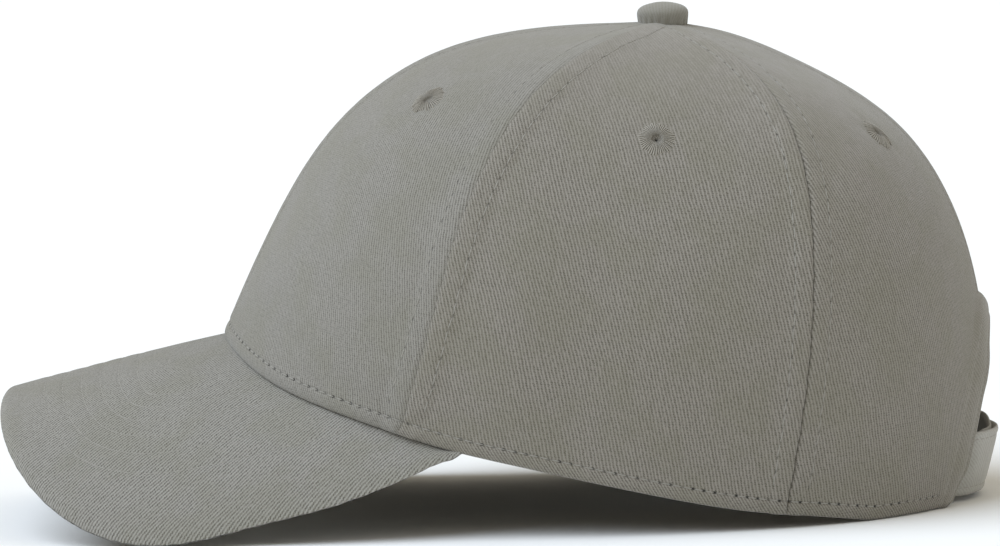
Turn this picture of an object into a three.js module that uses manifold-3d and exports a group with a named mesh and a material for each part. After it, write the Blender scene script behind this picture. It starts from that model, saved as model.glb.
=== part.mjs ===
// A six-panel cap with a curved peak and a strap across its back opening.
// Millimetres. +Z is up, the peak points along -X, and the wearer's left side is -Y.
// The origin is the middle of the foot of the whole cap's box: the cap rests on z = 0
// on the two low sides of its peak and on its back hem.

import * as THREE from 'three';
import Module from 'manifold-3d';

const wasm = await Module();
wasm.setup();

// Cloth and clearances
const clothWall = 1.6;
const pieceGap = 0.3;

// Crown: its outer face at seven heights, from the hem (level 0) to the button (level 1).
// x and z are given on the centre front seam, the fore side seam, the aft side seam and
// the centre back seam, and y is the half width at the two side seams.
const crownRows = [
  { level: 0.00, frontX: -75.7, frontZ: 50.8, foreX: -22.4, foreY: 72.2, foreZ: 27.4,
    aftX: 74.3, aftY: 69.0, aftZ: 3.6, backX: 127.3, backZ: -1.2 },
  { level: 0.20, frontX: -61.6, frontZ: 79.9, foreX: -16.8, foreY: 74.0, foreZ: 60.3,
    aftX: 80.6, aftY: 72.7, aftZ: 39.0, backX: 133.1, backZ: 32.7 },
  { level: 0.40, frontX: -43.4, frontZ: 106.7, foreX: -6.2, foreY: 67.2, foreZ: 91.5,
    aftX: 83.2, aftY: 68.6, aftZ: 73.6, backX: 129.1, backZ: 69.0 },
  { level: 0.60, frontX: -16.9, frontZ: 125.0, foreX: 10.9, foreY: 52.5, foreZ: 116.3,
    aftX: 79.5, aftY: 52.8, aftZ: 104.2, backX: 112.3, backZ: 101.1 },
  { level: 0.80, frontX: 14.8, frontZ: 131.9, foreX: 31.7, foreY: 29.4, foreZ: 129.3,
    aftX: 64.8, aftY: 28.6, aftZ: 124.1, backX: 82.2, backZ: 121.8 },
  { level: 0.93, frontX: 35.8, frontZ: 132.4, foreX: 43.1, foreY: 11.1, foreZ: 132.0,
    aftX: 52.4, aftY: 11.0, aftZ: 130.7, backX: 60.0, backZ: 130.3 },
  { level: 1.00, frontX: 47.3, frontZ: 132.5, foreX: 47.3, foreY: 0.0, foreZ: 132.5,
    aftX: 47.3, aftY: 0.0, aftZ: 132.5, backX: 47.3, backZ: 132.5 },
];
const panelAngle = Math.PI / 3;
const crownBluntness = 0.037; // how much squarer than an oval each level is
const panelFlatness = 1.8; // how far a panel's middle sits in from the round
const hemDips = [2.3, -1.4, 1.8]; // how far the front, side and back panels' hems curve down
const hemDipReach = 0.5; // level where the dip has died out
const hemRestReach = 0.2; // level where the flattening on the table has died out
const panelTopLevel = 0.965;
const panelStepsAcross = 8;
const panelStepsUp = 13;

// Eyelets: a stitched ring in each panel
const eyeletRows = [
  { panel: 'front', angle: 32.5, level: 0.53 },
  { panel: 'side', angle: 90.0, level: 0.555 },
  { panel: 'back', angle: 152.0, level: 0.60 },
];
const eyeletRadius = 4.85;
const eyeletHoleRadius = 1.2;
const eyeletThickness = 2.4;
const eyeletEdgeRound = 0.6;
const eyeletSides = 18;

// Peak: a slab bent round an axis that rises towards the crown, cut to a blunt crescent
const peakThickness = 3.8;
const peakEndThickness = 2.0;
const peakArchRadius = 87;
const peakTipX = -136.7;
const peakTipZ = 36.0;
const peakSlope = 0.2455;
const peakWidestX = -65.7;
const peakHalfWidth = 77;
const peakBluntness = 3.1;
const peakHemAngle = THREE.MathUtils.degToRad(67);
const peakEndTaper = 0.97;
const peakHemDrop = 0.35; // clearance under the crown's hem edge
const peakEdgeRound = 1.3;
const peakSideBulge = 0.2; // how far the side bows out past the widest place
const peakStepsAcross = 40;

// Button
const buttonRadius = 7.0;
const buttonHeight = 5.4;
const buttonSides = 24;
const buttonProfile = [ // shares of its radius and height, from the base to the top
  { radius: 0.00, height: 0.00 },
  { radius: 0.86, height: 0.00 },
  { radius: 0.97, height: 0.16 },
  { radius: 1.00, height: 0.42 },
  { radius: 0.93, height: 0.68 },
  { radius: 0.74, height: 0.87 },
  { radius: 0.42, height: 0.97 },
  { radius: 0.00, height: 1.00 },
];

// Back opening and its border
const openingHalfWidth = 27.5;
const openingHeight = 48.5;
const openingBluntness = 2.3;
const borderWidth = 7.5;
const borderThickness = 2.0;
const borderFootZ = 0.2;
const borderSteps = 30;

// Sweatband
const sweatbandWall = 1.2;
const sweatbandGap = 0.6;
const sweatbandFoot = 0.004;
const sweatbandTop = 0.165;
const sweatbandEndAngle = THREE.MathUtils.degToRad(142);
const sweatbandSteps = 46;

// Strap: the plan of one tab, from its root inside the crown to its free end
const strapRows = [
  { x: 115.5, y: -35.2 },
  { x: 118.7, y: -29.4 },
  { x: 121.7, y: -24.3 },
  { x: 126.8, y: -17.0 },
  { x: 130.6, y: -8.8 },
  { x: 131.7, y: 0.0 },
  { x: 130.6, y: 8.8 },
  { x: 127.2, y: 16.2 },
];
const strapWall = 1.5;
const strapLowZ = 1.6;
const strapHighZ = 19.2;
const strapRootLean = 0.2; // how far it leans out for each millimetre of its height
const strapLean = 0.27;
const strapLap = 1.9; // how far the outer tab stands off the inner one
const strapLapFrom = -24; // between these two y values the outer tab steps out
const strapLapTo = -17;
const strapLeanFrom = -28; // between these two y values its lean grows to the full one
const strapLeanTo = -14;
const strapEndRound = 4;
const strapEndShare = 0.07; // the share of its length that its rounded end takes
const strapSteps = 22;

const probeStep = 1e-4; // step in angle and level for reading a slope

// Colours and finishes
const twill = { color: 0x8c8a83, roughness: 0.95, metalness: 0 };
const twillInside = { color: 0x83817a, roughness: 0.95, metalness: 0 };
const thread = { color: 0x8f8d85, roughness: 0.8, metalness: 0 };

// A smooth curve through the table's rows for one column, read at any level
function throughRows(column) {
  const at = crownRows.map((row) => row.level);
  const value = crownRows.map((row) => row[column]);
  const last = at.length - 1;
  const bend = new Array(last + 1).fill(0);
  const carried = new Array(last + 1).fill(0);
  for (let i = 1; i < last; i += 1) {
    const share = (at[i] - at[i - 1]) / (at[i + 1] - at[i - 1]);
    const pivot = share * bend[i - 1] + 2;
    const rise = (value[i + 1] - value[i]) / (at[i + 1] - at[i]);
    const riseBefore = (value[i] - value[i - 1]) / (at[i] - at[i - 1]);
    bend[i] = (share - 1) / pivot;
    carried[i] = (6 * (rise - riseBefore)) / (at[i + 1] - at[i - 1]);
    carried[i] = (carried[i] - share * carried[i - 1]) / pivot;
  }
  for (let i = last - 1; i >= 0; i -= 1) {
    bend[i] = bend[i] * bend[i + 1] + carried[i];
  }
  return (level) => {
    let i = 0;
    while (i < last - 1 && level > at[i + 1]) i += 1;
    const span = at[i + 1] - at[i];
    const a = (at[i + 1] - level) / span;
    const b = 1 - a;
    const curve = ((a ** 3 - a) * bend[i] + (b ** 3 - b) * bend[i + 1]) * (span ** 2 / 6);
    return a * value[i] + b * value[i + 1] + curve;
  };
}

const crown = {};
Object.keys(crownRows[0]).forEach((column) => {
  if (column !== 'level') crown[column] = throughRows(column);
});

// Waves round the crown that pass through the four seams of one half
function aroundSeams(front, fore, aft, back, angle) {
  const steady = (front + 2 * fore + 2 * aft + back) / 6;
  const once = (front + fore - aft - back) / 3;
  const twice = (front - fore - aft + back) / 3;
  const thrice = (front - 2 * fore + 2 * aft - back) / 6;
  return steady + once * Math.cos(angle) + twice * Math.cos(2 * angle)
    + thrice * Math.cos(3 * angle);
}

// The height of the hem edge, before it is flattened on the table
function hemHeight(angle) {
  const panel = Math.min(2, Math.floor(Math.abs(angle) / panelAngle));
  const z = aroundSeams(crown.frontZ(0), crown.foreZ(0), crown.aftZ(0), crown.backZ(0), angle);
  return z - hemDips[panel] * Math.sin(3 * angle) ** 2;
}

// The crown's outer face without the flattening of its panels. Angle 0 is the centre front.
function roundCrown(angle, level) {
  const x = aroundSeams(
    crown.frontX(level), crown.foreX(level), crown.aftX(level), crown.backX(level), angle,
  );
  const atSeam = 2 * Math.sin(panelAngle);
  const wide = (crown.foreY(level) + crown.aftY(level)) / atSeam;
  const skew = (crown.foreY(level) - crown.aftY(level)) / atSeam;
  const y = wide * (Math.sin(angle) + crownBluntness * Math.sin(3 * angle))
    + skew * Math.sin(2 * angle);
  const panel = Math.min(2, Math.floor(Math.abs(angle) / panelAngle));
  const dip = hemDips[panel] * Math.sin(3 * angle) ** 2;
  const dipLeft = Math.max(0, 1 - level / hemDipReach) ** 2;
  const lift = Math.max(0, -hemHeight(angle)) * Math.max(0, 1 - level / hemRestReach) ** 2;
  const z = aroundSeams(
    crown.frontZ(level), crown.foreZ(level), crown.aftZ(level), crown.backZ(level), angle,
  );
  return new THREE.Vector3(x, y, z - dip * dipLeft + lift);
}

// The direction straight out of the round crown
function outwardAt(angle, level) {
  const here = Math.min(Math.max(level, probeStep), 1 - probeStep);
  const round = roundCrown(angle + probeStep, here).sub(roundCrown(angle - probeStep, here));
  const up = roundCrown(angle, here + probeStep).sub(roundCrown(angle, here - probeStep));
  return up.cross(round).normalize();
}

// The crown's outer face, with each panel a little flatter than the round between its seams
function crownFace(angle, level) {
  const inset = panelFlatness * Math.abs(Math.sin(3 * angle)) * 4 * level * (1 - level);
  return roundCrown(angle, level).addScaledVector(outwardAt(angle, level), -inset);
}

// A face parallel to the crown's, standing out by a distance
function crownOffset(angle, level, out) {
  return crownFace(angle, level).addScaledVector(outwardAt(angle, level), out);
}

// The angle and level where the crown's face has a given y and z, at the back. It starts
// from a rough guess and closes in on the place by the slopes of the face.
function crownPlace(y, z) {
  const roughRadius = 84;
  const roughLength = 170;
  const rounds = 12;
  let angle = Math.PI - Math.asin(y / roughRadius);
  let level = z / roughLength;
  for (let turn = 0; turn < rounds; turn += 1) {
    const here = crownFace(angle, level);
    const round = crownFace(angle + probeStep, level).sub(here).divideScalar(probeStep);
    const up = crownFace(angle, level + probeStep).sub(here).divideScalar(probeStep);
    const det = round.y * up.z - round.z * up.y;
    const missY = y - here.y;
    const missZ = z - here.z;
    angle += (missY * up.z - missZ * up.y) / det;
    level += (missZ * round.y - missY * round.z) / det;
  }
  return { angle, level };
}

function volumeOf(positions, triangles) {
  let volume = 0;
  for (let i = 0; i < triangles.length; i += 3) {
    const [a, b, c] = [0, 1, 2].map((k) => positions[triangles[i + k]]);
    volume += a.dot(new THREE.Vector3().crossVectors(b, c)) / 6;
  }
  return volume;
}

// A geometry whose faces all point out
function geometryOf(positions, triangles) {
  const facing = volumeOf(positions, triangles) > 0 ? triangles : [...triangles].reverse();
  const geometry = new THREE.BufferGeometry();
  geometry.setAttribute(
    'position',
    new THREE.Float32BufferAttribute(positions.flatMap((p) => [p.x, p.y, p.z]), 3),
  );
  geometry.setIndex(facing);
  return geometry;
}

// A closed solid through rings of points. Each ring runs out along one face and back along
// the other, so its ends are closed by strips between the two runs.
function loftRings(rings) {
  const count = rings[0].length;
  const triangles = [];
  for (let r = 0; r < rings.length - 1; r += 1) {
    for (let i = 0; i < count; i += 1) {
      const a = r * count + i;
      const b = r * count + ((i + 1) % count);
      triangles.push(a, b, b + count, a, b + count, a + count);
    }
  }
  const endAt = (rings.length - 1) * count;
  for (let i = 0; i < count / 2 - 1; i += 1) {
    const j = count - 1 - i;
    triangles.push(i, j, j - 1, i, j - 1, i + 1);
    triangles.push(endAt + i, endAt + j - 1, endAt + j, endAt + i, endAt + i + 1, endAt + j - 1);
  }
  return geometryOf(rings.flat(), triangles);
}

function toManifold(geometry) {
  return new wasm.Manifold(new wasm.Mesh({
    numProp: 3,
    vertProperties: new Float32Array(geometry.attributes.position.array),
    triVerts: new Uint32Array(geometry.index.array),
  }));
}

function fromManifold(solid) {
  const mesh = solid.getMesh();
  const geometry = new THREE.BufferGeometry();
  geometry.setAttribute('position', new THREE.Float32BufferAttribute(mesh.vertProperties, 3));
  geometry.setIndex([...mesh.triVerts]);
  return geometry;
}

// A closed copy of a three.js shape, with its shared vertices joined by place
function welded(geometry) {
  const seen = new Map();
  const positions = [];
  const source = geometry.attributes.position;
  const order = geometry.index ? [...geometry.index.array] : [...Array(source.count).keys()];
  const placed = order.map((index) => {
    const point = new THREE.Vector3().fromBufferAttribute(source, index);
    const key = point.toArray().map((n) => Math.round(n * 1e4)).join(' ');
    if (!seen.has(key)) {
      seen.set(key, positions.length);
      positions.push(point);
    }
    return seen.get(key);
  });
  const triangles = [];
  for (let i = 0; i < placed.length; i += 3) {
    const [a, b, c] = placed.slice(i, i + 3);
    if (a !== b && b !== c && c !== a) triangles.push(a, b, c);
  }
  return geometryOf(positions, triangles);
}

// One panel of the crown between two seams, as a cloth shell
function panelShell(fromAngle, toAngle) {
  const rings = [];
  for (let r = 0; r <= panelStepsUp; r += 1) {
    const level = panelTopLevel * (r / panelStepsUp);
    const row = [];
    for (let i = 0; i <= panelStepsAcross; i += 1) {
      const share = i / panelStepsAcross;
      const angle = THREE.MathUtils.lerp(fromAngle, toAngle, share);
      const ahead = crownFace(angle + probeStep, level);
      const anglePerLength = probeStep / ahead.distanceTo(crownFace(angle, level));
      const inwards = (1 - 2 * share) * Math.sign(toAngle - fromAngle);
      row.push(angle + inwards * (pieceGap / 2) * anglePerLength);
    }
    const outer = row.map((angle) => crownOffset(angle, level, 0));
    const inner = row.map((angle) => crownOffset(angle, level, -clothWall));
    if (r === 0) {
      inner.forEach((point, i) => point.setZ(outer[i].z));
    }
    rings.push([...outer, ...inner.reverse()]);
  }
  return loftRings(rings);
}

// A straight prism along X that cuts the back opening
function openingCutter() {
  const steps = 24;
  const belowHem = -10;
  const fromX = 95;
  const length = 60;
  const outline = openingCurve(0, steps).map((point) => new THREE.Vector2(point.y, point.z));
  const shape = new THREE.Shape([
    new THREE.Vector2(outline[0].x, belowHem),
    ...outline,
    new THREE.Vector2(outline[steps].x, belowHem),
  ]);
  const prism = new THREE.ExtrudeGeometry(shape, { depth: length, bevelEnabled: false });
  prism.applyMatrix4(new THREE.Matrix4().makeBasis(
    new THREE.Vector3(0, 1, 0), new THREE.Vector3(0, 0, 1), new THREE.Vector3(1, 0, 0),
  ));
  prism.translate(fromX, 0, 0);
  return toManifold(welded(prism));
}

// The arch of the back opening in y and z, standing out from its edge by a distance
function openingCurve(out, steps) {
  return Array.from({ length: steps + 1 }, (_, i) => {
    const turn = Math.PI * (i / steps);
    const power = 2 / openingBluntness;
    const side = Math.cos(turn);
    return {
      y: -Math.sign(side) * Math.abs(side) ** power * (openingHalfWidth + out),
      z: Math.abs(Math.sin(turn)) ** power * (openingHeight + out),
    };
  });
}

function eyeletFrame(row, side) {
  const angle = side * THREE.MathUtils.degToRad(row.angle);
  const outward = outwardAt(angle, row.level);
  const centre = crownFace(angle, row.level).addScaledVector(outward, -clothWall / 2);
  const turn = new THREE.Quaternion().setFromUnitVectors(new THREE.Vector3(0, 1, 0), outward);
  return { centre, turn };
}

function eyeletRing() {
  const half = eyeletThickness / 2;
  const soft = eyeletEdgeRound;
  const profile = [
    [eyeletHoleRadius, -half + soft], [eyeletHoleRadius + soft, -half],
    [eyeletRadius - soft, -half], [eyeletRadius, -half + soft],
    [eyeletRadius, half - soft], [eyeletRadius - soft, half],
    [eyeletHoleRadius + soft, half], [eyeletHoleRadius, half - soft],
    [eyeletHoleRadius, -half + soft],
  ].map(([r, y]) => new THREE.Vector2(r, y));
  return welded(new THREE.LatheGeometry(profile, eyeletSides));
}

function eyeletCutter(row, side) {
  const radius = eyeletRadius + pieceGap;
  const length = 12;
  const sides = 24;
  const hole = new THREE.CylinderGeometry(radius, radius, length, sides);
  const { centre, turn } = eyeletFrame(row, side);
  hole.applyQuaternion(turn);
  hole.translate(centre.x, centre.y, centre.z);
  return toManifold(welded(hole));
}

// The outer outline of one half of the peak in plan, from its tip to its end at the hem
function peakOutline() {
  const steps = 16;
  const power = 2 / peakBluntness;
  const points = [];
  for (let i = 0; i <= steps; i += 1) {
    const turn = (Math.PI / 2) * (i / steps);
    const x = peakWidestX - (peakWidestX - peakTipX) * Math.cos(turn) ** power;
    points.push(new THREE.Vector3(x, peakHalfWidth * Math.sin(turn) ** power, 0));
  }
  const end = crownFace(peakHemAngle, 0);
  points.push(new THREE.Vector3((peakWidestX + end.x) / 2, peakHalfWidth + peakSideBulge, 0));
  points.push(new THREE.Vector3(end.x, end.y, 0));
  return new THREE.CatmullRomCurve3(points);
}

// The height of the peak's top face over a place in plan
function peakTopZ(x, y) {
  const arch = peakArchRadius - Math.sqrt(peakArchRadius ** 2 - y ** 2);
  return peakTipZ + peakSlope * (x - peakTipX) - arch;
}

// The peak: rings across it from the hem to the rim, set side by side from end to end
function peakSolid() {
  const shares = [0, 0.25, 0.5, 0.75];
  const mostRounded = 0.2; // the largest share of a ring that the rounded edge takes
  const softShare = 0.27; // the share of the thickness that the edge is rounded by
  const outline = peakOutline();
  const rings = [];
  for (let i = 0; i <= peakStepsAcross; i += 1) {
    const along = peakEndTaper * ((2 * i) / peakStepsAcross - 1);
    const side = Math.sign(along) || 1;
    const hemAngle = peakHemAngle * along;
    const hem = crownOffset(hemAngle, 0, -clothWall);
    const hemTop = crownFace(hemAngle, 0).z - peakHemDrop;
    const rim = outline.getPointAt(Math.abs(along));
    const width = Math.hypot(rim.x - hem.x, side * rim.y - hem.y);
    const settle = hemTop - peakTopZ(hem.x, hem.y);
    const place = (share, down) => {
      const x = THREE.MathUtils.lerp(hem.x, rim.x, share);
      const y = THREE.MathUtils.lerp(hem.y, side * rim.y, share);
      return new THREE.Vector3(x, y, peakTopZ(x, y) + settle * (1 - share) ** 2 - down);
    };
    const inside = 1 - Math.min(mostRounded, peakEdgeRound / width);
    const thick = THREE.MathUtils.lerp(peakThickness, peakEndThickness, Math.abs(along) ** 3);
    const soften = softShare * thick;
    const top = [...shares, inside].map((share) => place(share, 0));
    const under = [...shares, inside].map((share) => place(share, thick));
    const edge = [place(1, soften), place(1, thick - soften)];
    rings.push([...top, edge[0], edge[1], ...under.reverse()]);
  }
  return loftRings(rings);
}

function buttonSolid() {
  const profile = buttonProfile.map(
    (row) => new THREE.Vector2(row.radius * buttonRadius, row.height * buttonHeight),
  );
  const geometry = new THREE.LatheGeometry(profile, buttonSides);
  geometry.rotateX(Math.PI / 2);
  return welded(geometry);
}

// The raised border round the back opening: a cloth strip that follows the crown's face
function borderSolid() {
  const across = [0, 0.5, 1];
  const runs = across.map(
    (share) => openingCurve(pieceGap + share * borderWidth, borderSteps),
  );
  const rings = [];
  for (let i = 0; i <= borderSteps; i += 1) {
    const places = runs.map((run) => crownPlace(run[i].y, Math.max(run[i].z, 2 * borderFootZ)));
    const outer = places.map((p) => crownOffset(p.angle, p.level, pieceGap + borderThickness));
    const inner = places.map((p) => crownOffset(p.angle, p.level, pieceGap));
    [...outer, ...inner].forEach((point) => point.setZ(Math.max(point.z, borderFootZ)));
    rings.push([...outer, ...inner.reverse()]);
  }
  return loftRings(rings);
}

// The band inside the hem, open at the back
function sweatbandSolid() {
  const levels = [sweatbandFoot, (sweatbandFoot + sweatbandTop) / 2, sweatbandTop];
  const outerOut = -clothWall - sweatbandGap;
  const rings = [];
  for (let i = 0; i <= sweatbandSteps; i += 1) {
    const angle = sweatbandEndAngle * ((2 * i) / sweatbandSteps - 1);
    const outer = levels.map((level) => crownOffset(angle, level, outerOut));
    const inner = levels.map((level) => crownOffset(angle, level, outerOut - sweatbandWall));
    rings.push([...outer, ...inner.reverse()]);
  }
  return loftRings(rings);
}

// One tab of the strap. The outer tab is rooted on the wearer's left and steps out over the
// inner one, which is rooted on the right.
function strapTab(side, lap) {
  const plan = new THREE.CatmullRomCurve3(
    strapRows.map((row) => new THREE.Vector3(row.x, row.y, 0)),
  );
  const heights = [0, 0.5, 1];
  const middleZ = (strapLowZ + strapHighZ) / 2;
  const rings = [];
  for (let i = 0; i <= strapSteps; i += 1) {
    const share = i / strapSteps;
    const here = plan.getPointAt(share);
    const along = plan.getTangentAt(share);
    const out = new THREE.Vector3(along.y, -along.x, 0);
    const stepOut = lap * THREE.MathUtils.smoothstep(here.y, strapLapFrom, strapLapTo);
    const leaned = THREE.MathUtils.smoothstep(here.y, strapLeanFrom, strapLeanTo);
    const slope = THREE.MathUtils.lerp(strapRootLean, strapLean, leaned);
    const intoEnd = Math.max(0, 1 - (1 - share) / strapEndShare);
    const low = strapLowZ + strapEndRound * intoEnd ** 2;
    const high = strapHighZ - strapEndRound * intoEnd ** 2;
    const place = (height, wall) => {
      const z = THREE.MathUtils.lerp(low, high, height);
      const lean = slope * (z - middleZ);
      const point = here.clone().addScaledVector(out, stepOut + lean + wall);
      return new THREE.Vector3(point.x, side * point.y, z);
    };
    const outer = heights.map((height) => place(height, strapWall / 2));
    const inner = heights.map((height) => place(height, -strapWall / 2));
    rings.push([...outer, ...inner.reverse()]);
  }
  return loftRings(rings);
}

function meshOf(name, geometry, finish) {
  const mesh = new THREE.Mesh(geometry, new THREE.MeshStandardMaterial(finish));
  mesh.name = name;
  return mesh;
}

// The six panels and the eyelet in each
function crownPanels() {
  const group = new THREE.Group();
  const opening = openingCutter();
  const sides = [{ word: 'left', sign: -1 }, { word: 'right', sign: 1 }];
  sides.forEach(({ word, sign }) => {
    eyeletRows.forEach((row, index) => {
      const shell = panelShell(sign * panelAngle * index, sign * panelAngle * (index + 1));
      let solid = toManifold(shell).subtract(eyeletCutter(row, sign));
      if (row.panel === 'back') solid = solid.subtract(opening);
      group.add(meshOf(`panel_${row.panel}_${word}`, fromManifold(solid), twill));
      const ring = meshOf(`eyelet_${row.panel}_${word}`, eyeletRing(), thread);
      const { centre, turn } = eyeletFrame(row, sign);
      ring.position.copy(centre);
      ring.quaternion.copy(turn);
      group.add(ring);
    });
  });
  return group;
}

const cap = new THREE.Group();
cap.add(crownPanels());
cap.add(meshOf('peak', peakSolid(), twill));
const button = meshOf('top_button', buttonSolid(), twill);
button.position.copy(crownFace(0, 1)).add(new THREE.Vector3(0, 0, pieceGap));
cap.add(button);
cap.add(meshOf('opening_border', borderSolid(), twill));
cap.add(meshOf('sweatband', sweatbandSolid(), twillInside));
cap.add(meshOf('strap_outer', strapTab(1, strapLap), twill));
cap.add(meshOf('strap_inner', strapTab(-1, 0), twill));

export default cap;
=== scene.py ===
import math

import bmesh
import bpy
import numpy as np
from mathutils import Matrix, Vector


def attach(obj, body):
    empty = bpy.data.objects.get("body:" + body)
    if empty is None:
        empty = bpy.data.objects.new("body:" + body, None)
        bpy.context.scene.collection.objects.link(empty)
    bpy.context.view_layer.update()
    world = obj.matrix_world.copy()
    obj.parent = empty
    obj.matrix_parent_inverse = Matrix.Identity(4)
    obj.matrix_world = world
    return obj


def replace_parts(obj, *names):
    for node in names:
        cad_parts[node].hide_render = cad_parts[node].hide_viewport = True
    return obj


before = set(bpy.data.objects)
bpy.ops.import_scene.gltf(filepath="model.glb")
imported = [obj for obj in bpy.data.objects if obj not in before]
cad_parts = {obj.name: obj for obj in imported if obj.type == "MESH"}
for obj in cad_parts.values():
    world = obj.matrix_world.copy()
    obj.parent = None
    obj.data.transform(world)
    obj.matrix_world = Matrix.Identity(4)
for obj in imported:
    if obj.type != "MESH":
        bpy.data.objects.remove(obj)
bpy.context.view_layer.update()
mm = 0.001
print("frame loaded:", len(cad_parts), "nodes")

# Sizes here are millimetres, and what is laid into a mesh is turned to metres.
# Angle 0 is the centre front of the crown, and the wearer's left has negative angles.

crownShape = {
    # level 0 is the hem and 1 the button; x and z are on the front, fore, aft and back
    # seams, and the half widths are at the fore and aft seams
    "columns": ("level", "frontX", "frontZ", "foreX", "foreY", "foreZ", "aftX", "aftY", "aftZ",
                "backX", "backZ"),
    "rows": [
        (0.00, -75.7, 50.8, -22.4, 72.2, 27.4, 74.3, 69.0, 3.6, 127.3, -1.2),
        (0.20, -61.6, 79.9, -16.8, 74.0, 60.3, 80.6, 72.7, 39.0, 133.1, 32.7),
        (0.40, -43.4, 106.7, -6.2, 67.2, 91.5, 83.2, 68.6, 73.6, 129.1, 69.0),
        (0.60, -16.9, 125.0, 10.9, 52.5, 116.3, 79.5, 52.8, 104.2, 112.3, 101.1),
        (0.80, 14.8, 131.9, 31.7, 29.4, 129.3, 64.8, 28.6, 124.1, 82.2, 121.8),
        (0.93, 35.8, 132.4, 43.1, 11.1, 132.0, 52.4, 11.0, 130.7, 60.0, 130.3),
        (1.00, 47.3, 132.5, 47.3, 0.0, 132.5, 47.3, 0.0, 132.5, 47.3, 132.5),
    ],
    "panelAngle": math.pi / 3,
    "bluntness": 0.037,            # how much squarer than an oval each level is
    "flatness": 1.8,               # how far a panel's middle sits in from the round
    "hemDips": (2.3, -1.4, 1.8),   # how far the front, side and back hems curve down
    "hemDipReach": 0.5,
    "hemRestReach": 0.2,
    # the front's hem hangs this far below level 0: by this share at the centre front, growing to
    # the whole over the first pair of degrees, and ending over the second
    "hemDrop": 1.62, "dropFull": (5, 35), "dropEnds": (50, 80), "dropAtFront": 0.68,
    "levelHeight": 155.0,
    # degrees that the fore seam swings forward at the hem, the levels that this takes, and how steeply
    "foreSwing": 3.2, "swingReach": 0.26, "swingPower": 1.6,
    "seamWander": ((0.0011, 105.0), (0.0007, 262.0)),   # seams are never quite straight
    "wanderEnds": 0.3,
}

stitching = {
    "rowFromSeam": 5.3,
    "rowFromHem": 3.9,
    "seamPitch": 3.9,
    "hemPitch": 3.0,
    "peakPitch": 3.3,
    "trimPitch": 3.0,
    "threadRadius": 0.17,
    "gap": 0.5,            # between one stitch and the next
    "sink": 0.2,           # how far the cloth gives under the thread
    "taperReach": 24.0,    # the twin rows close up over this length below the button
    "taperPower": 0.55,
    "topLevel": 0.955,     # the seam rows end here
    "archGap": 7.0,        # nearer to the centre back than this, they stop above the opening
    "trimGap": 1.0,        # between the panels' rows and the border
    "backFrom": 60.0,      # behind this x the hem's row stops at the border
}


def naturalSpline(knots, values):
    knots, values = np.asarray(knots, float), np.asarray(values, float)
    last = len(knots) - 1
    matrix, right = np.eye(last + 1), np.zeros_like(values)
    for i in range(1, last):
        before, after = knots[i] - knots[i - 1], knots[i + 1] - knots[i]
        matrix[i, i - 1:i + 2] = before, 2 * (before + after), after
        right[i] = 6 * ((values[i + 1] - values[i]) / after - (values[i] - values[i - 1]) / before)
    bends = np.linalg.solve(matrix, right)

    def read(at):
        at = np.asarray(at, float)
        i = np.clip(np.searchsorted(knots, at, side="right") - 1, 0, last - 1)
        span = knots[i + 1] - knots[i]
        a = (knots[i + 1] - at) / span
        if values.ndim > 1:
            a, span = a[..., None], span[..., None]
        b = 1 - a
        bend = (a ** 3 - a) * bends[i] + (b ** 3 - b) * bends[i + 1]
        return a * values[i] + b * values[i + 1] + bend * span ** 2 / 6
    return read


crownColumns = dict(zip(crownShape["columns"], zip(*crownShape["rows"])))
crownCurves = {name: naturalSpline(crownColumns["level"], values) for name, values in crownColumns.items()}


def smoothStep(value, low, high):
    share = np.clip((value - low) / (high - low), 0, 1)
    return share * share * (3 - 2 * share)


def bell(value, middle, width):
    return np.exp(-((value - middle) / width) ** 2)


def rolledEdge(distance, reach, depth):
    # how far a rolled edge falls away: depth at the edge, none past its reach
    share = np.clip(1 - distance / reach, 0, 1)
    return depth * (1 - np.sqrt(1 - share ** 2))


def softWaves(places, length, seed):
    # slow irregular waves between about -1 and 1
    total = 0
    for k in range(5):
        turn = seed * 1.7 + k * 2.4
        way = np.array([math.cos(turn), math.sin(turn), math.sin(turn * 1.3 + 0.5)])
        stretch = 0.7 + 0.23 * k
        total = total + np.sin(places @ way * (2 * math.pi / length * stretch) + seed + 1.9 * k)
    return total / 3


def unitRows(rows):
    return rows / np.linalg.norm(rows, axis=-1, keepdims=True)


def aroundSeams(axis, level, angle):
    front, fore, aft, back = (crownCurves[seam + axis](level) for seam in ("front", "fore", "aft", "back"))
    steady = (front + 2 * fore + 2 * aft + back) / 6
    once = (front + fore - aft - back) / 3
    twice = (front - fore - aft + back) / 3
    thrice = (front - 2 * fore + 2 * aft - back) / 6
    return steady + once * np.cos(angle) + twice * np.cos(2 * angle) + thrice * np.cos(3 * angle)


def hemDip(angle):
    panel = np.minimum(2, np.abs(angle) // crownShape["panelAngle"]).astype(int)
    return np.asarray(crownShape["hemDips"])[panel] * np.sin(3 * angle) ** 2


def roundCrown(angle, level):
    angle, level = np.broadcast_arrays(np.asarray(angle, float), np.asarray(level, float))
    x = aroundSeams("X", level, angle)
    fore, aft = crownCurves["foreY"](level), crownCurves["aftY"](level)
    atSeam = 2 * math.sin(crownShape["panelAngle"])
    wide, skew = (fore + aft) / atSeam, (fore - aft) / atSeam
    y = wide * (np.sin(angle) + crownShape["bluntness"] * np.sin(3 * angle)) + skew * np.sin(2 * angle)
    dip = hemDip(angle) * np.maximum(0, 1 - level / crownShape["hemDipReach"]) ** 2
    hem = aroundSeams("Z", np.zeros_like(level), angle) - hemDip(angle)
    lift = np.maximum(0, -hem) * np.maximum(0, 1 - level / crownShape["hemRestReach"]) ** 2
    return np.stack([x, y, aroundSeams("Z", level, angle) - dip + lift], -1)


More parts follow.
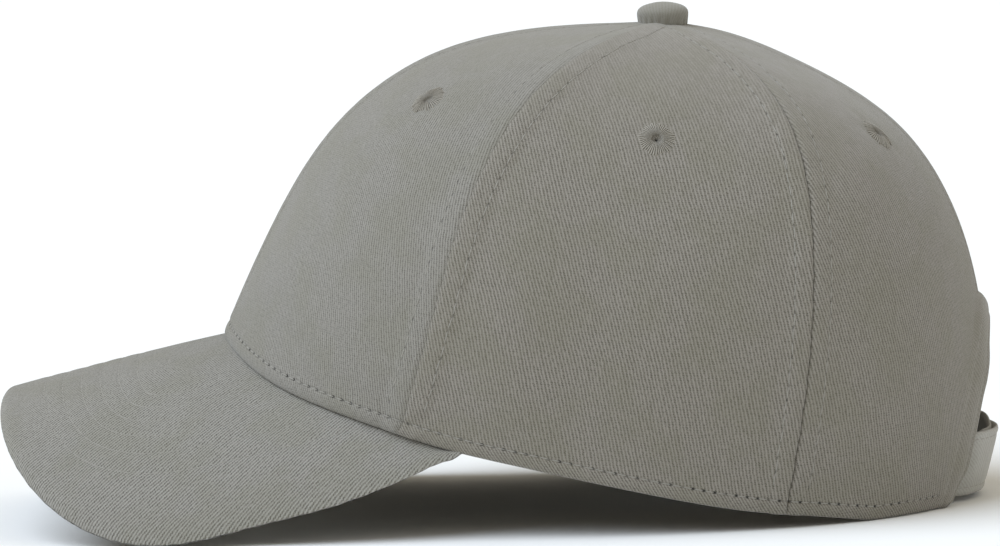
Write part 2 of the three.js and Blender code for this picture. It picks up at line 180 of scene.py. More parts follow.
def crownOutward(angle, level):
    step = 1e-4
    level = np.clip(level, step, 1 - step)
    around = roundCrown(angle + step, level) - roundCrown(angle - step, level)
    up = roundCrown(angle, level + step) - roundCrown(angle, level - step)
    return unitRows(np.cross(up, around))


def crownPlace(angle, level, out=0.0):
    # a place on the crown's face, or a distance out from it
    angle, level = np.asarray(angle, float), np.asarray(level, float)
    inset = crownShape["flatness"] * np.abs(np.sin(3 * angle)) * 4 * level * (1 - level)
    lift = np.asarray(out - inset)[..., None]
    return roundCrown(angle, level) + crownOutward(angle, level) * lift


def hemLevel(angle):
    # the level of the cloth's edge
    turn = np.degrees(np.abs(angle))
    atFront = crownShape["dropAtFront"]
    share = atFront + (1 - atFront) * smoothStep(turn, *crownShape["dropFull"])
    drop = crownShape["hemDrop"] * (1 - smoothStep(turn, *crownShape["dropEnds"])) * share
    return -drop / crownShape["levelHeight"]


def seamAngle(number, side, level):
    # seams are numbered from the centre front to the centre back
    angle = crownShape["panelAngle"] * number + 0 * level
    if number == 1:
        left = np.clip(1 - level / crownShape["swingReach"], 0, None)
        angle = angle - math.radians(crownShape["foreSwing"]) * left ** crownShape["swingPower"]
    wander = sum(size * np.sin(pace * level + 2.1 * number) for size, pace in crownShape["seamWander"])
    return side * angle + wander * smoothStep(1 - level, 0, crownShape["wanderEnds"])


def findAtBack(y, z):
    # the angle and level at the back where the crown's face has this y and z, from a rough
    # first guess that each round brings closer
    step = 1e-4
    angle, level = math.pi - np.arcsin(y / 84), z / 170
    for _ in range(12):
        here = crownPlace(angle, level)
        around = (crownPlace(angle + step, level) - here) / step
        up = (crownPlace(angle, level + step) - here) / step
        det = around[..., 1] * up[..., 2] - around[..., 2] * up[..., 1]
        missY, missZ = y - here[..., 1], z - here[..., 2]
        angle = angle + (missY * up[..., 2] - missZ * up[..., 1]) / det
        level = level + (missZ * around[..., 1] - missY * around[..., 2]) / det
    return angle, level


def runLength(places, axis=0):
    # distance covered so far along a row or a column of places
    steps = np.linalg.norm(np.diff(places, axis=axis), axis=-1)
    start = np.zeros_like(np.take(steps, [0], axis=axis))
    return np.concatenate([start, np.cumsum(steps, axis=axis)], axis=axis)


# Materials: colours are sRGB hex, and every pattern is scaled from millimetres in a UV map

def hexColour(text):
    parts = [int(text[i:i + 2], 16) / 255 for i in (0, 2, 4)]
    return [p / 12.92 if p <= 0.04045 else ((p + 0.055) / 1.055) ** 2.4 for p in parts] + [1]


def startMaterial(name):
    material = bpy.data.materials.new(name)
    material.use_nodes = True
    material.node_tree.nodes.clear()
    return material, material.node_tree


def addNode(tree, kind, links=None, **settings):
    node = tree.nodes.new(kind)
    for name, value in settings.items():
        setattr(node, name, value)
    for socket, value in (links or {}).items():
        if isinstance(value, bpy.types.NodeSocket):
            tree.links.new(value, node.inputs[socket])
        else:
            node.inputs[socket].default_value = value
    return node


def maths(tree, operation, a, b=0.0, c=0.0):
    return addNode(tree, "ShaderNodeMath", {0: a, 1: b, 2: c}, operation=operation).outputs[0]


def ranged(tree, value, low, high, toLow, toHigh, kind="SMOOTHSTEP"):
    links = {"Value": value, "From Min": low, "From Max": high, "To Min": toLow, "To Max": toHigh}
    return addNode(tree, "ShaderNodeMapRange", links, interpolation_type=kind).outputs[0]


def noise(tree, place, scale, detail=2.0, output="Fac"):
    return addNode(tree, "ShaderNodeTexNoise",
                   {"Vector": place, "Scale": scale, "Detail": detail}).outputs[output]


def blend(tree, share, first, second):
    # hex text or a socket for each colour; the second one takes over as the share grows
    first, second = (hexColour(c) if isinstance(c, str) else c for c in (first, second))
    return addNode(tree, "ShaderNodeMix", {"Factor": share, 6: first, 7: second}, data_type="RGBA").outputs[2]


def mapPlace(tree, name):
    return addNode(tree, "ShaderNodeUVMap", uv_map=name).outputs[0]


def axesOf(tree, place):
    return addNode(tree, "ShaderNodeSeparateXYZ", {0: place}).outputs


def finishMaterial(tree, colour, height, relief, surface, strength=1.0):
    bump = addNode(tree, "ShaderNodeBump",
                   {"Height": height, "Distance": relief * mm, "Strength": strength}).outputs[0]
    shader = addNode(tree, "ShaderNodeBsdfPrincipled",
                     {"Base Color": colour, "IOR": 1.5, "Normal": bump, **surface})
    addNode(tree, "ShaderNodeOutputMaterial", {"Surface": shader.outputs[0]})


clothLooks = {
    # fade: between these heights on the cloth, in millimetres, the wale dies down to this share, and with it
    # the painted shade in its valleys, pits and stitch lines, as painted light for the crown's top, which
    # takes the light flat on;
    # rows: the rows of needle holes that the cloth carries
    "washedCottonTwill": {
        # piece-dyed and washed: a matt warm grey with raised diagonal wales, and painted shade darkening the
        # valleys and pits between the paler crests
        "fade": (80, 135, 0.25), "rows": ("seamRows", "hemRows"),
        "crest": "918c84", "valley": "736f65", "pit": "555147",
        "period": 0.9, "lean": 23.5, "bead": 0.66, "relief": 0.1, "sheen": 0.25,
    },
    "twillDrawnFlat": {
        # the front pair, drawn flat by its facing: the wale is closer and shallower
        "fade": (70, 140, 0.3), "rows": ("seamRows", "hemRows"),
        "crest": "8f8c85", "valley": "7a776f", "pit": "57544c",
        "period": 0.73, "lean": 23.5, "bead": 0.6, "relief": 0.07, "sheen": 0.25,
    },
    "turnedTwillEdge": {
        # the same cloth turned and pressed round the opening: its wale is pressed out
        "crest": "8e8a82", "valley": "817d74", "pit": "716d64",
        "period": 0.9, "lean": 23.5, "bead": 0.66, "relief": 0.035, "sheen": 0.25,
    },
    "twillOnButton": {
        # the same twill pulled hard over the button: its wale nearly closes up
        "crest": "8c8983", "valley": "868379", "pit": "7d7a72",
        "period": 0.9, "lean": 0.0, "bead": 0.62, "relief": 0.015, "sheen": 0.25,
    },
    "twillOverStiffener": {
        # the same cloth drawn tight over the stiffener: the wale is flatter and the colour evener
        "rows": ("rimRows",),
        "crest": "96948d", "valley": "7b7871", "pit": "4f4c45",
        "period": 0.9, "lean": 38.5, "bead": 0.62, "relief": 0.1, "sheen": 0.25,
    },
    "foldedTwillPaintedPale": {
        # pressed double and edge-stitched: smooth, and painted paler and cooler than the rest of the cloth,
        # as painted light on the strap's faces, which get little light
        "crest": "adaba5", "valley": "a4a29c", "pit": "95938d",
        "period": 0.85, "lean": 40.0, "bead": 0.6, "relief": 0.02, "sheen": 0.25,
    },
    "twillReverse": {
        # the back of the cloth: flat, dull and darker, with hardly any wale
        "crest": "807d75", "valley": "6e6b63", "pit": "5c5952",
        "period": 0.8, "lean": -25.0, "bead": 0.5, "relief": 0.06, "sheen": 0.1,
    },
    "bandCotton": {
        # plain folded cotton of the band inside the hem: close and smooth
        "crest": "85827b", "valley": "787570", "pit": "696660",
        "period": 0.7, "lean": 45.0, "bead": 0.7, "relief": 0.04, "sheen": 0.1,
    },
}

weave = {
    # how fine each unevenness is, in turns for a millimetre
    "fineness": {"wander": 0.035, "slide": 0.9, "fuzz": 2.4, "pits": 1.3, "holes": 0.33, "patches": 0.06},
    "wander": 1.6,       # millimetres that the wales stray by over a few centimetres
    "slide": 0.35,       # and that single yarns stray by
    "stagger": 0.37,     # each wale's pits lie this share of a bead behind the last one's
    "slubScale": (0.9, 0.22, 1.0),
    "fuzz": 0.5, "pitDepth": 0.5, "holeDepth": 1.6,
    "patch": "6e6d55", "patchShare": 0.16,    # dye takes unevenly: soft patches, greener and duller
    # hole: painted shade, the colour that the needle holes are painted for the dark inside them
    "hole": "302e29",
    "surface": {"Roughness": 0.92, "Specular IOR Level": 0.2, "Sheen Roughness": 0.5},
}

needleRows = {
    # rows of needle holes: the UV map that holds them, the first row, their spacing and
    # number, and the distance between holes; a hole's width, how round, how dark its painted shade is and how
    # even the holes are, and how dark the painted shade is along the line that the thread draws into the
    # cloth
    "seamRows": {"first": stitching["rowFromSeam"], "spacing": 1.0, "count": 1,
                 "pitch": stitching["seamPitch"],
                 "width": 0.32, "round": 0.36, "dark": 0.46, "even": 0.05, "line": 0.07},
    "hemRows": {"first": stitching["rowFromHem"], "spacing": 1.0, "count": 1,
                "pitch": stitching["hemPitch"],
                "width": 0.54, "round": 0.66, "dark": 1.0, "even": 0.35, "line": 0.22},
    "rimRows": {"first": 12.0, "spacing": 5.1, "count": 6,
                "pitch": stitching["peakPitch"],
                "width": 0.4, "round": 0.6, "dark": 0.16, "even": 0.1, "line": 0.04},
}


def walePattern(tree, cloth, look):
    # the cloth's own coordinates in millimetres, a little wandering as real yarns are
    fineness = weave["fineness"]
    stray = addNode(tree, "ShaderNodeVectorMath",
                    {0: noise(tree, cloth, fineness["wander"], output="Color"), 1: (0.5, 0.5, 0.5)},
                    operation="SUBTRACT").outputs[0]
    wander = addNode(tree, "ShaderNodeVectorMath",
                     {0: stray, 1: (weave["wander"], weave["wander"], 0.0), 2: cloth},
                     operation="MULTIPLY_ADD").outputs[0]
    turned = addNode(tree, "ShaderNodeMapping",
                     {"Vector": wander, "Rotation": (0, 0, -math.radians(look["lean"]))}).outputs[0]
    across, along = (axesOf(tree, turned)[k] for k in (0, 1))
    yarn = addNode(tree, "ShaderNodeMapping", {"Vector": turned, "Scale": weave["slubScale"]}).outputs[0]
    slub = noise(tree, yarn, 1.0)
    fuzz = maths(tree, "SUBTRACT", noise(tree, cloth, fineness["fuzz"], 3.0), 0.5)
    slide = maths(tree, "SUBTRACT", noise(tree, cloth, fineness["slide"], 1.0), 0.5)
    across = maths(tree, "MULTIPLY_ADD", slide, weave["slide"], across)

    # one wale each period; the valleys are pitted where the yarns dive under each other
    half, bead = look["period"] / 2, look["bead"]
    crest = ranged(tree, maths(tree, "PINGPONG", across, half), 0.1 * half, 0.9 * half, 0.0, 1.0)
    number = maths(tree, "FLOOR", maths(tree, "DIVIDE", across, look["period"]))
    staggered = maths(tree, "MULTIPLY_ADD", number, weave["stagger"] * bead, along)
    gap = ranged(tree, maths(tree, "PINGPONG", staggered, bead / 2), 0.1 * bead, 0.4 * bead, 1.0, 0.0)
    valley = maths(tree, "SUBTRACT", 1.0, crest)
    deep = ranged(tree, noise(tree, cloth, fineness["pits"], 1.0), 0.35, 0.65, 0.1, 1.3)
    pit = maths(tree, "MULTIPLY", maths(tree, "MULTIPLY", gap, valley), deep)
    height = maths(tree, "MULTIPLY", crest, ranged(tree, slub, 0.3, 0.7, 0.6, 1.1))
    height = maths(tree, "MULTIPLY_ADD", fuzz, weave["fuzz"], height)
    height = maths(tree, "MULTIPLY_ADD", pit, -weave["pitDepth"], height)
    flecks = maths(tree, "MULTIPLY_ADD", fuzz, 1.3, maths(tree, "MULTIPLY", slub, 0.9))
    return crest, pit, height, flecks


def needlePattern(tree, cloth, rowMap, clear):
    # painted shade: needle holes painted dark, and a dark line painted along the groove that the thread draws
    # into the cloth between them
    rows = needleRows[rowMap]
    place = axesOf(tree, mapPlace(tree, rowMap))
    fromFirst = maths(tree, "SUBTRACT", place[0], rows["first"])
    number = maths(tree, "ROUND", maths(tree, "DIVIDE", fromFirst, rows["spacing"]))
    number = maths(tree, "MINIMUM", maths(tree, "MAXIMUM", number, 0.0), rows["count"] - 1.0)
    fromRow = maths(tree, "SUBTRACT", fromFirst, maths(tree, "MULTIPLY", number, rows["spacing"]))
    fromHole = maths(tree, "PINGPONG", place[1], rows["pitch"] / 2)
    fromHole = maths(tree, "MULTIPLY", fromHole, rows["round"])
    miss = maths(tree, "MULTIPLY_ADD", fromRow, fromRow, maths(tree, "MULTIPLY", fromHole, fromHole))
    miss = maths(tree, "SQRT", miss)
    uneven = noise(tree, cloth, weave["fineness"]["holes"], 1.0)
    uneven = ranged(tree, uneven, 0.36, 0.62, rows["even"], 1.1)
    hole = ranged(tree, miss, 0.3 * rows["width"], rows["width"], rows["dark"], 0.0)
    line = ranged(tree, maths(tree, "ABSOLUTE", fromRow), 0.08, 0.3, rows["line"], 0.0)
    hole, line = maths(tree, "MULTIPLY", hole, uneven), maths(tree, "MULTIPLY", line, clear)
    return maths(tree, "MAXIMUM", hole, line)


def clothMaterial(name, look):
    material, tree = startMaterial(name)
    cloth = mapPlace(tree, "cloth")
    crest, pit, height, flecks = walePattern(tree, cloth, look)
    clear = 1.0
    # painted light: towards the crown's top the painted shade of the wale, its pits and the stitch lines
    # fades out, as the top takes the light flat on; the bump fades with it
    if "fade" in look:
        start, end, least = look["fade"]
        clear = ranged(tree, axesOf(tree, cloth)[1], start, end, 1.0, least)
        height, pit = (maths(tree, "MULTIPLY", value, clear) for value in (height, pit))
        crest = maths(tree, "MULTIPLY_ADD", maths(tree, "SUBTRACT", crest, 0.5), clear, 0.5)
    # painted shade: the wale's valleys and the pits in them are painted darker than its crests, for the shade
    # that falls in them; the flecks are the yarns' own uneven tone
    shade = maths(tree, "MULTIPLY_ADD", crest, 0.75, flecks)
    colour = blend(tree, ranged(tree, shade, 0.1, 1.5, 0.0, 1.0), look["valley"], look["crest"])
    colour = blend(tree, maths(tree, "MINIMUM", pit, 1.0), colour, look["pit"])
    patches = noise(tree, cloth, weave["fineness"]["patches"], 3.0)
    colour = blend(tree, ranged(tree, patches, 0.4, 0.62, 0.0, weave["patchShare"]), colour, weave["patch"])
    needle = 0.0
    for rowMap in look.get("rows", ()):
        needle = maths(tree, "MAXIMUM", needle, needlePattern(tree, cloth, rowMap, clear))
    if "rows" in look:
        # painted shade in the needle holes and along the rows, which are also dented into the bump
        colour = blend(tree, needle, colour, weave["hole"])
        height = maths(tree, "MULTIPLY_ADD", needle, -weave["holeDepth"], height)
    finishMaterial(tree, colour, height, look["relief"], {**weave["surface"], "Sheen Weight": look["sheen"]})
    return material


threadLooks = {
    "surface": {"Specular IOR Level": 0.3, "Sheen Weight": 0.2},
    "sewing": {"light": "9b9890", "dark": "88857d", "twist": 900.0, "relief": 0.05, "strength": 0.6,
               "roughness": 0.7},
    # the satin map is in stitches round the ring and millimetres from its middle; groove: painted shade in
    # the slits;
    # closed: up to the first distance the crowded threads fill their slits by this share, past the second by
    # none
    "satin": {"crest": "9e998e", "groove": "5a564c", "relief": 0.1, "roughness": 0.75,
              "strands": (7.0, 1.2, 1.0), "wobble": 0.4, "slit": 0.36, "closed": (1.6, 2.6, 0.4)},
}


def sewingThreadMaterial():
    # spun and twisted thread: a faint sheen over fine uneven plies
    look = threadLooks["sewing"]
    material, tree = startMaterial("spunSewingThread")
    place = addNode(tree, "ShaderNodeTexCoord").outputs["Object"]
    plies = noise(tree, place, look["twist"])
    finishMaterial(tree, blend(tree, plies, look["light"], look["dark"]), plies, look["relief"],
                   {**threadLooks["surface"], "Roughness": look["roughness"]}, look["strength"])
    return material


def satinMaterial():
    # satin stitch in spun thread: threads side by side, with painted shade in the slits between them
    look = threadLooks["satin"]
    material, tree = startMaterial("eyeletSatinThread")
    satin = mapPlace(tree, "satin")
    place = axesOf(tree, satin)
    fibres = addNode(tree, "ShaderNodeMapping", {"Vector": satin, "Scale": look["strands"]}).outputs[0]
    uneven = ranged(tree, noise(tree, fibres, 1.0), 0.3, 0.7, 0.7, 1.0, "LINEAR")
    wobble = maths(tree, "SUBTRACT", noise(tree, satin, 1.6, 1.0), 0.5)
    across = maths(tree, "MULTIPLY_ADD", wobble, look["wobble"], place[0])
    thread = ranged(tree, maths(tree, "PINGPONG", across, 0.5), 0.0, look["slit"], 0.0, 1.0)
    start, end, filled = look["closed"]
    crowd = ranged(tree, place[1], start, end, filled, 0.0, "LINEAR")
    shade = maths(tree, "MULTIPLY", maths(tree, "MAXIMUM", thread, crowd), uneven)
    # painted shade: the slits between the threads are painted in the darker groove colour
    finishMaterial(tree, blend(tree, shade, look["groove"], look["crest"]), shade, look["relief"],
                   {**threadLooks["surface"], "Roughness": look["roughness"]})
    return material


cloths = {name: clothMaterial(name, look) for name, look in clothLooks.items()}
sewingThread, satinThread = sewingThreadMaterial(), satinMaterial()
print("materials made")


# Mesh building

def toPiece(name, bm, materials, maps=None):
    mesh = bpy.data.meshes.new(name)
    bm.to_mesh(mesh)
    bm.free()
    corners = np.empty(len(mesh.loops), np.int32)
    mesh.loops.foreach_get("vertex_index", corners)
    for mapName, places in (maps or {}).items():
        layer = mesh.uv_layers.new(name=mapName)
        layer.data.foreach_set("uv", np.asarray(places, np.float32)[corners].ravel())
    for material in materials:
        mesh.materials.append(material)
    mesh.polygons.foreach_set("use_smooth", [True] * len(mesh.polygons))
    piece = bpy.data.objects.new(name, mesh)
    bpy.context.scene.collection.objects.link(piece)
    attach(piece, "root")
    return piece


def layGrid(bm, places, number, turnOver):
    # a grid of cloth whose corners go to places, rows of points in millimetres
    rows, columns = places.shape[:2]
    before = len(bm.faces)
    made = bmesh.ops.create_grid(bm, x_segments=columns - 1, y_segments=rows - 1, size=1.0)["verts"]
    across = [round((v.co.x + 1) / 2 * (columns - 1)) for v in made]
    up = [round((v.co.y + 1) / 2 * (rows - 1)) for v in made]
    for vert, place in zip(made, places[up, across] * mm):
        vert.co = place
    bm.faces.ensure_lookup_table()
    faces = bm.faces[before:]
    for face in faces:
        face.material_index = number
    if turnOver:
        bmesh.ops.reverse_faces(bm, faces=faces)
    rim = [edge for edge in {edge for face in faces for edge in face.edges} if edge.is_boundary]
    return up, across, rim


def closedSheet(name, sides, materials):
    # two faces of cloth joined round their rim; the second one is the inside
    bm = bmesh.new()
    rims, rowsOf = [], {}
    for number, (places, maps) in enumerate(sides):
        up, across, rim = layGrid(bm, places, number, number == 1)
        rims += rim
        for mapName, values in maps.items():
            rowsOf.setdefault(mapName, []).append(values[up, across])
    bmesh.ops.bridge_loops(bm, edges=rims)
    maps = {mapName: np.concatenate(values) for mapName, values in rowsOf.items()}
    return toPiece(name, bm, materials, maps)


def spun(curve, closed, steps):
    # a section, a row of distances and heights, turned once round the upright axis
    bm = bmesh.new()
    verts = [bm.verts.new((distance * mm, 0, high * mm)) for distance, high in curve]
    following = verts[1:] + verts[:1] if closed else verts[1:]
    edges = [bm.edges.new(pair) for pair in zip(verts, following)]
    bmesh.ops.spin(bm, geom=verts + edges, cent=(0, 0, 0), axis=(0, 0, 1), angle=2 * math.pi,
                   steps=steps, use_merge=True)
    bmesh.ops.remove_doubles(bm, verts=bm.verts, dist=1e-6)
    bmesh.ops.recalc_face_normals(bm, faces=bm.faces)
    return bm


def cutAway(piece, cutters):
    for cutter in cutters:
        change = piece.modifiers.new("cut", "BOOLEAN")
        change.operation = "DIFFERENCE"
        change.solver = "EXACT"
        change.object = cutter
    bpy.context.view_layer.update()
    seen = piece.evaluated_get(bpy.context.evaluated_depsgraph_get())
    cut = bpy.data.meshes.new_from_object(seen)
    piece.modifiers.clear()
    piece.data = cut
    for cutter in cutters:
        bpy.data.objects.remove(cutter)


def sheetArea(face):
    # square millimetres of a grid of places
    across, up = np.diff(face[:-1], axis=1), np.diff(face[:, :-1], axis=0)
    return np.linalg.norm(np.cross(across, up), axis=-1).sum()


# Sewing

def rowAcross(lines, distances, at):
    # where a row of stitches crosses each line of a grid, and the step of the grid below it
    path, lows = [], []
    for line, distance in zip(lines, distances):
        spot = np.interp(at, distance, np.arange(len(distance)))
        low, part = int(spot), spot - int(spot)
        path.append(line[low] * (1 - part) + line[low + 1] * part)
        lows.append(low)
    return np.array(path), lows


def stitchPlaces(path, outwards, run, pitch):
    # the middle of each stitch on a path, the way out of the cloth there and the way along
    first, last = math.ceil(run.min() / pitch), math.floor(run.max() / pitch)
    centres = (np.arange(first, last) + 0.5) * pitch
    read = lambda at, rows: np.stack([np.interp(at, run, rows[:, k]) for k in range(3)], -1)
    way = unitRows(read(centres + 0.2 * pitch, path) - read(centres - 0.2 * pitch, path))
    out = read(centres, outwards)
    return read(centres, path), unitRows(out - way * (out * way).sum(1, keepdims=True)), way


def sewRow(sewn, path, outwards, run, pitch, thin=1.0, keep=None):
    # short threads along a path, their ends going down into the cloth; run is the distance
    # so far, which sets their places
    order = np.argsort(run)
    places, outs, ways = stitchPlaces(path[order], outwards[order], run[order], pitch)
    radius, length = stitching["threadRadius"] * thin, pitch - stitching["gap"]
    bm = bmesh.new()
    for place, out, way in zip(places, outs, ways):
        if keep and not keep(place):
            continue
        side = np.cross(out, way)
        columns = [side * radius, out * radius, way * length / 2, place + out * (radius - stitching["sink"])]
        matrix = Matrix([[*(column[k] * mm for column in columns)] for k in range(3)] + [[0, 0, 0, 1]])
        bmesh.ops.create_uvsphere(bm, u_segments=6, v_segments=4, radius=1.0, matrix=matrix)
    row = bpy.data.meshes.new("row")
    bm.to_mesh(row)
    bm.free()
    sewn.from_mesh(row)
    bpy.data.meshes.remove(row)


# Crown panels

panelNames = ("front", "side", "back")

panelLook = {
    "wall": 1.6,
    "topLevel": 0.99,
    "fine": (120, 200),        # steps across and up on the outside
    "plain": (60, 100),        # and on the inside
    "evenAtSeam": 0.3,         # spacing at the seams as a share of an even one
    "evenAtHem": 0.45,
    "overlap": 0.0006,         # neighbours reach into each other by this share of a panel
    "footing": (0.02, 0.05),   # how far the outside and the inside stay over the floor
    "seamRoll": 1.3, "hemRoll": 2.6, "hemRollDepth": 0.8,
    # the front, fore, aft and back seams: how deep each one lies, and shares of the full rise of
    # its allowances and of its grooves
    "seams": [
        {"roll": 0.5, "rise": 0.5, "groove": 0.6},
        {"roll": 0.14, "rise": 1.0, "groove": 0.5},
        {"roll": 0.8, "rise": 1.0, "groove": 0.7},
        {"roll": 0.4, "rise": 0.4, "groove": 0.4},
    ],
    "lip": 0.1, "lipWidth": 0.6,       # a narrow ridge where the cloth turns down into a seam
    "pressed": (0.6, 0.86, 0.88),      # from the first level to the second the seams flatten by this share
    "topLift": 0.25, "liftLevels": (0.7, 0.9),    # round the button the cloth lies this much higher
    "allowanceRise": 0.45, "allowanceWidth": 7.5, "allowanceWall": 0.9, "allowanceEnd": (-0.6, 2.2),
    "puff": 0.18, "grooveDepth": 0.22, "grooveWidth": 0.55,
    "hemRise": 0.3, "hemGroove": 0.3, "hemEnd": (-0.4, 2.0),
    "waves": 0.35, "waveLength": 46.0, "waveFade": 14.0,
    "pucker": 0.11, "puckerLength": 11.0, "puckerReach": (3.2, 3.5),    # beside a seam's row and the hem's
    "scallop": 0.05, "scallopWidth": 1.6,
    # puckers round an eyelet: their number, rise, distance from its middle and reach, and the
    # distances over which the cloth's own waves come in
    "rays": 7, "rayRise": 0.09, "rayAt": 7.6, "rayReach": 2.2, "wavesFrom": (4, 16),
    "eyeletDip": (0.1, 0.4, 0.7),      # how deep, how far out from the stitches and how wide
    "hemTurn": 0.56,           # how much more the wale leans on the turned-up hem
    # the back panels' grain leans low down, turns upright towards the top and leans more
    # towards the centre back
    "backGrain": {"lean": 0.075, "turn": 0.0041, "more": 0.12, "reach": 60.0, "half": 25.0},
    # inside: how the edges roll, as reach and depth, and the dent that a row draws
    "insideSeam": (1.0, 1.4), "insideHem": (1.4, 0.5), "insideDent": 0.25,
}

eyeletLook = {
    "places": [(31.9, 0.53), (89.8, 0.565), (153.5, 0.612)],   # angle and level in each panel
    "radius": 4.9, "cutRadius": 2.6, "cutDepth": 14.0,
    "stitches": 46, "turnSteps": 276, "profileSteps": 26,
    "grooveDepth": 0.22, "seat": -0.42,
    # further out than this the ends of the stitches are ragged, with notches between them
    "outerFrom": 3.4, "ragged": 0.6, "notch": 0.3, "unevenRise": 0.14,
    # the ring's section: distance from the middle, and height over the cloth
    "section": [
        (4.1, -1.6), (4.75, -1.2), (5.04, -0.75), (5.06, -0.42), (4.92, -0.16), (4.5, 0.06),
        (3.8, 0.27), (3.0, 0.45), (2.3, 0.54), (1.85, 0.48), (1.52, 0.22), (1.34, -0.2),
        (1.18, -0.6), (0.45, -0.86), (0.42, -1.5), (2.4, -1.8),
    ],
}

borderLook = {
    "halfWidth": 27.5, "height": 48.5, "bluntness": 2.3, "width": 7.5, "foot": 0.3, "steps": 170,
    "cornerRound": 4.6, "cutSteps": 48, "cutFrom": 95.0, "cutThrough": 60.0, "cutLow": -10.0,
    # it stands out this much more over the top of the arch, between these heights, as far as
    # this from the arch's edge
    "topRise": 1.45, "topHeights": (34, 50), "topReach": (8.0, 2.5),
    "flare": 1.4, "flareAt": 39.5, "flareReach": 6.8,   # and its edge bends out beside the strap
    "edgeRise": 1.9, "riseStarts": (3, 12), "riseEnds": (32, 44),
    # the section of the strip: how far from the arch's edge, and how far out of the crown
    "section": [
        (9.4, -0.9), (8.6, -0.66), (7.7, -0.42), (6.9, -0.24), (6.4, -0.18), (5.95, -0.32), (5.5, -0.1),
        (4.6, 0.28), (3.6, 0.5), (2.6, 0.5), (1.9, 0.38), (1.5, 0.2), (1.05, 0.42), (0.4, 0.45),
        (-0.15, 0.25), (-0.5, -0.15), (-0.62, -0.8), (-0.6, -1.4), (-0.45, -1.9), (-0.2, -2.0),
        (-0.05, -1.7), (-0.03, -1.1), (0.0, -0.75), (0.5, -0.68), (2.5, -0.7), (5.0, -0.72), (7.4, -0.74),
    ],
    "crest": 8, "rows": (11, 5),       # places in the section
    "outside": -0.6,                   # the part of the section that shows is further out than this
    "footing": 0.2, "cutWidth": 12.5,
}

hemAngles = np.linspace(-math.pi, math.pi, 1441)
hemRun = runLength(crownPlace(hemAngles, np.zeros_like(hemAngles)))
hemRun -= np.interp(0, hemAngles, hemRun)


def eyeletPlace(index, side):
    angle, level = eyeletLook["places"][index]
    angle = side * math.radians(angle)
    return crownPlace(angle, level), crownOutward(angle, level)


def bunched(share, even):
    # closer steps towards both ends
    fromEnd = 1 - np.abs(2 * share - 1)
    moved = 0.5 * (even * fromEnd + (1 - even) * fromEnd ** 3)
    return np.where(share < 0.5, moved, 1 - moved)


def panelGrid(index, side, steps):
    # the seam on the left as seen from outside comes first
    seams = (index + 1, index) if side > 0 else (index, index + 1)
    look = panelLook
    share = bunched(np.linspace(0, 1, steps[0] + 1), look["evenAtSeam"])
    share = share * (1 + 2 * look["overlap"]) - look["overlap"]
    up = np.linspace(0, 1, steps[1] + 1)
    share, climb = np.meshgrid(share, look["evenAtHem"] * up + (1 - look["evenAtHem"]) * up ** 2)
    level = look["topLevel"] * climb
    for _ in range(3):
        left, right = (seamAngle(number, side, level) for number in seams)
        angle = left + (right - left) * share
        low = hemLevel(angle)
        level = low + (look["topLevel"] - low) * climb
    face = crownPlace(angle, level)
    across, rise = runLength(face, 1), runLength(face, 0)
    width = across[:, -1:]
    onLeft = across < width / 2
    seamDistance = np.clip(np.where(onLeft, across, width - across), 0, None)
    left = rise[-1] - rise
    taper = np.minimum(1, ((left + 2.0) / stitching["taperReach"]) ** stitching["taperPower"])
    alongSeam = np.where(onLeft, rise[:, :1], rise[:, -1:])
    high = np.broadcast_to(rise[:, [rise.shape[1] // 2]], rise.shape)
    grain = across - width / 2 - look["hemTurn"] * np.clip(stitching["rowFromHem"] - rise, 0, None)
    if panelNames[index] == "back":
        back = look["backGrain"]
        more = back["more"] * smoothStep((across - width / 2) * -side, -back["half"], back["half"])
        grain = grain + back["lean"] * high - back["turn"] * high ** 2 / 2
        grain = grain + more * back["reach"] * (1 - np.exp(-high / back["reach"]))
    maps = {
        "cloth": np.stack([grain, high], -1),
        "seamRows": np.stack([seamDistance / taper, alongSeam], -1),
        "hemRows": np.stack([rise, np.interp(angle, hemAngles, hemRun)], -1),
    }
    near, far = look["seams"][index:index + 2]
    onInner = onLeft == (side < 0)
    seamShares = {key: np.where(onInner, near[key], far[key]) for key in ("roll", "rise", "groove")}
    return angle, level, face, seamShares, maps


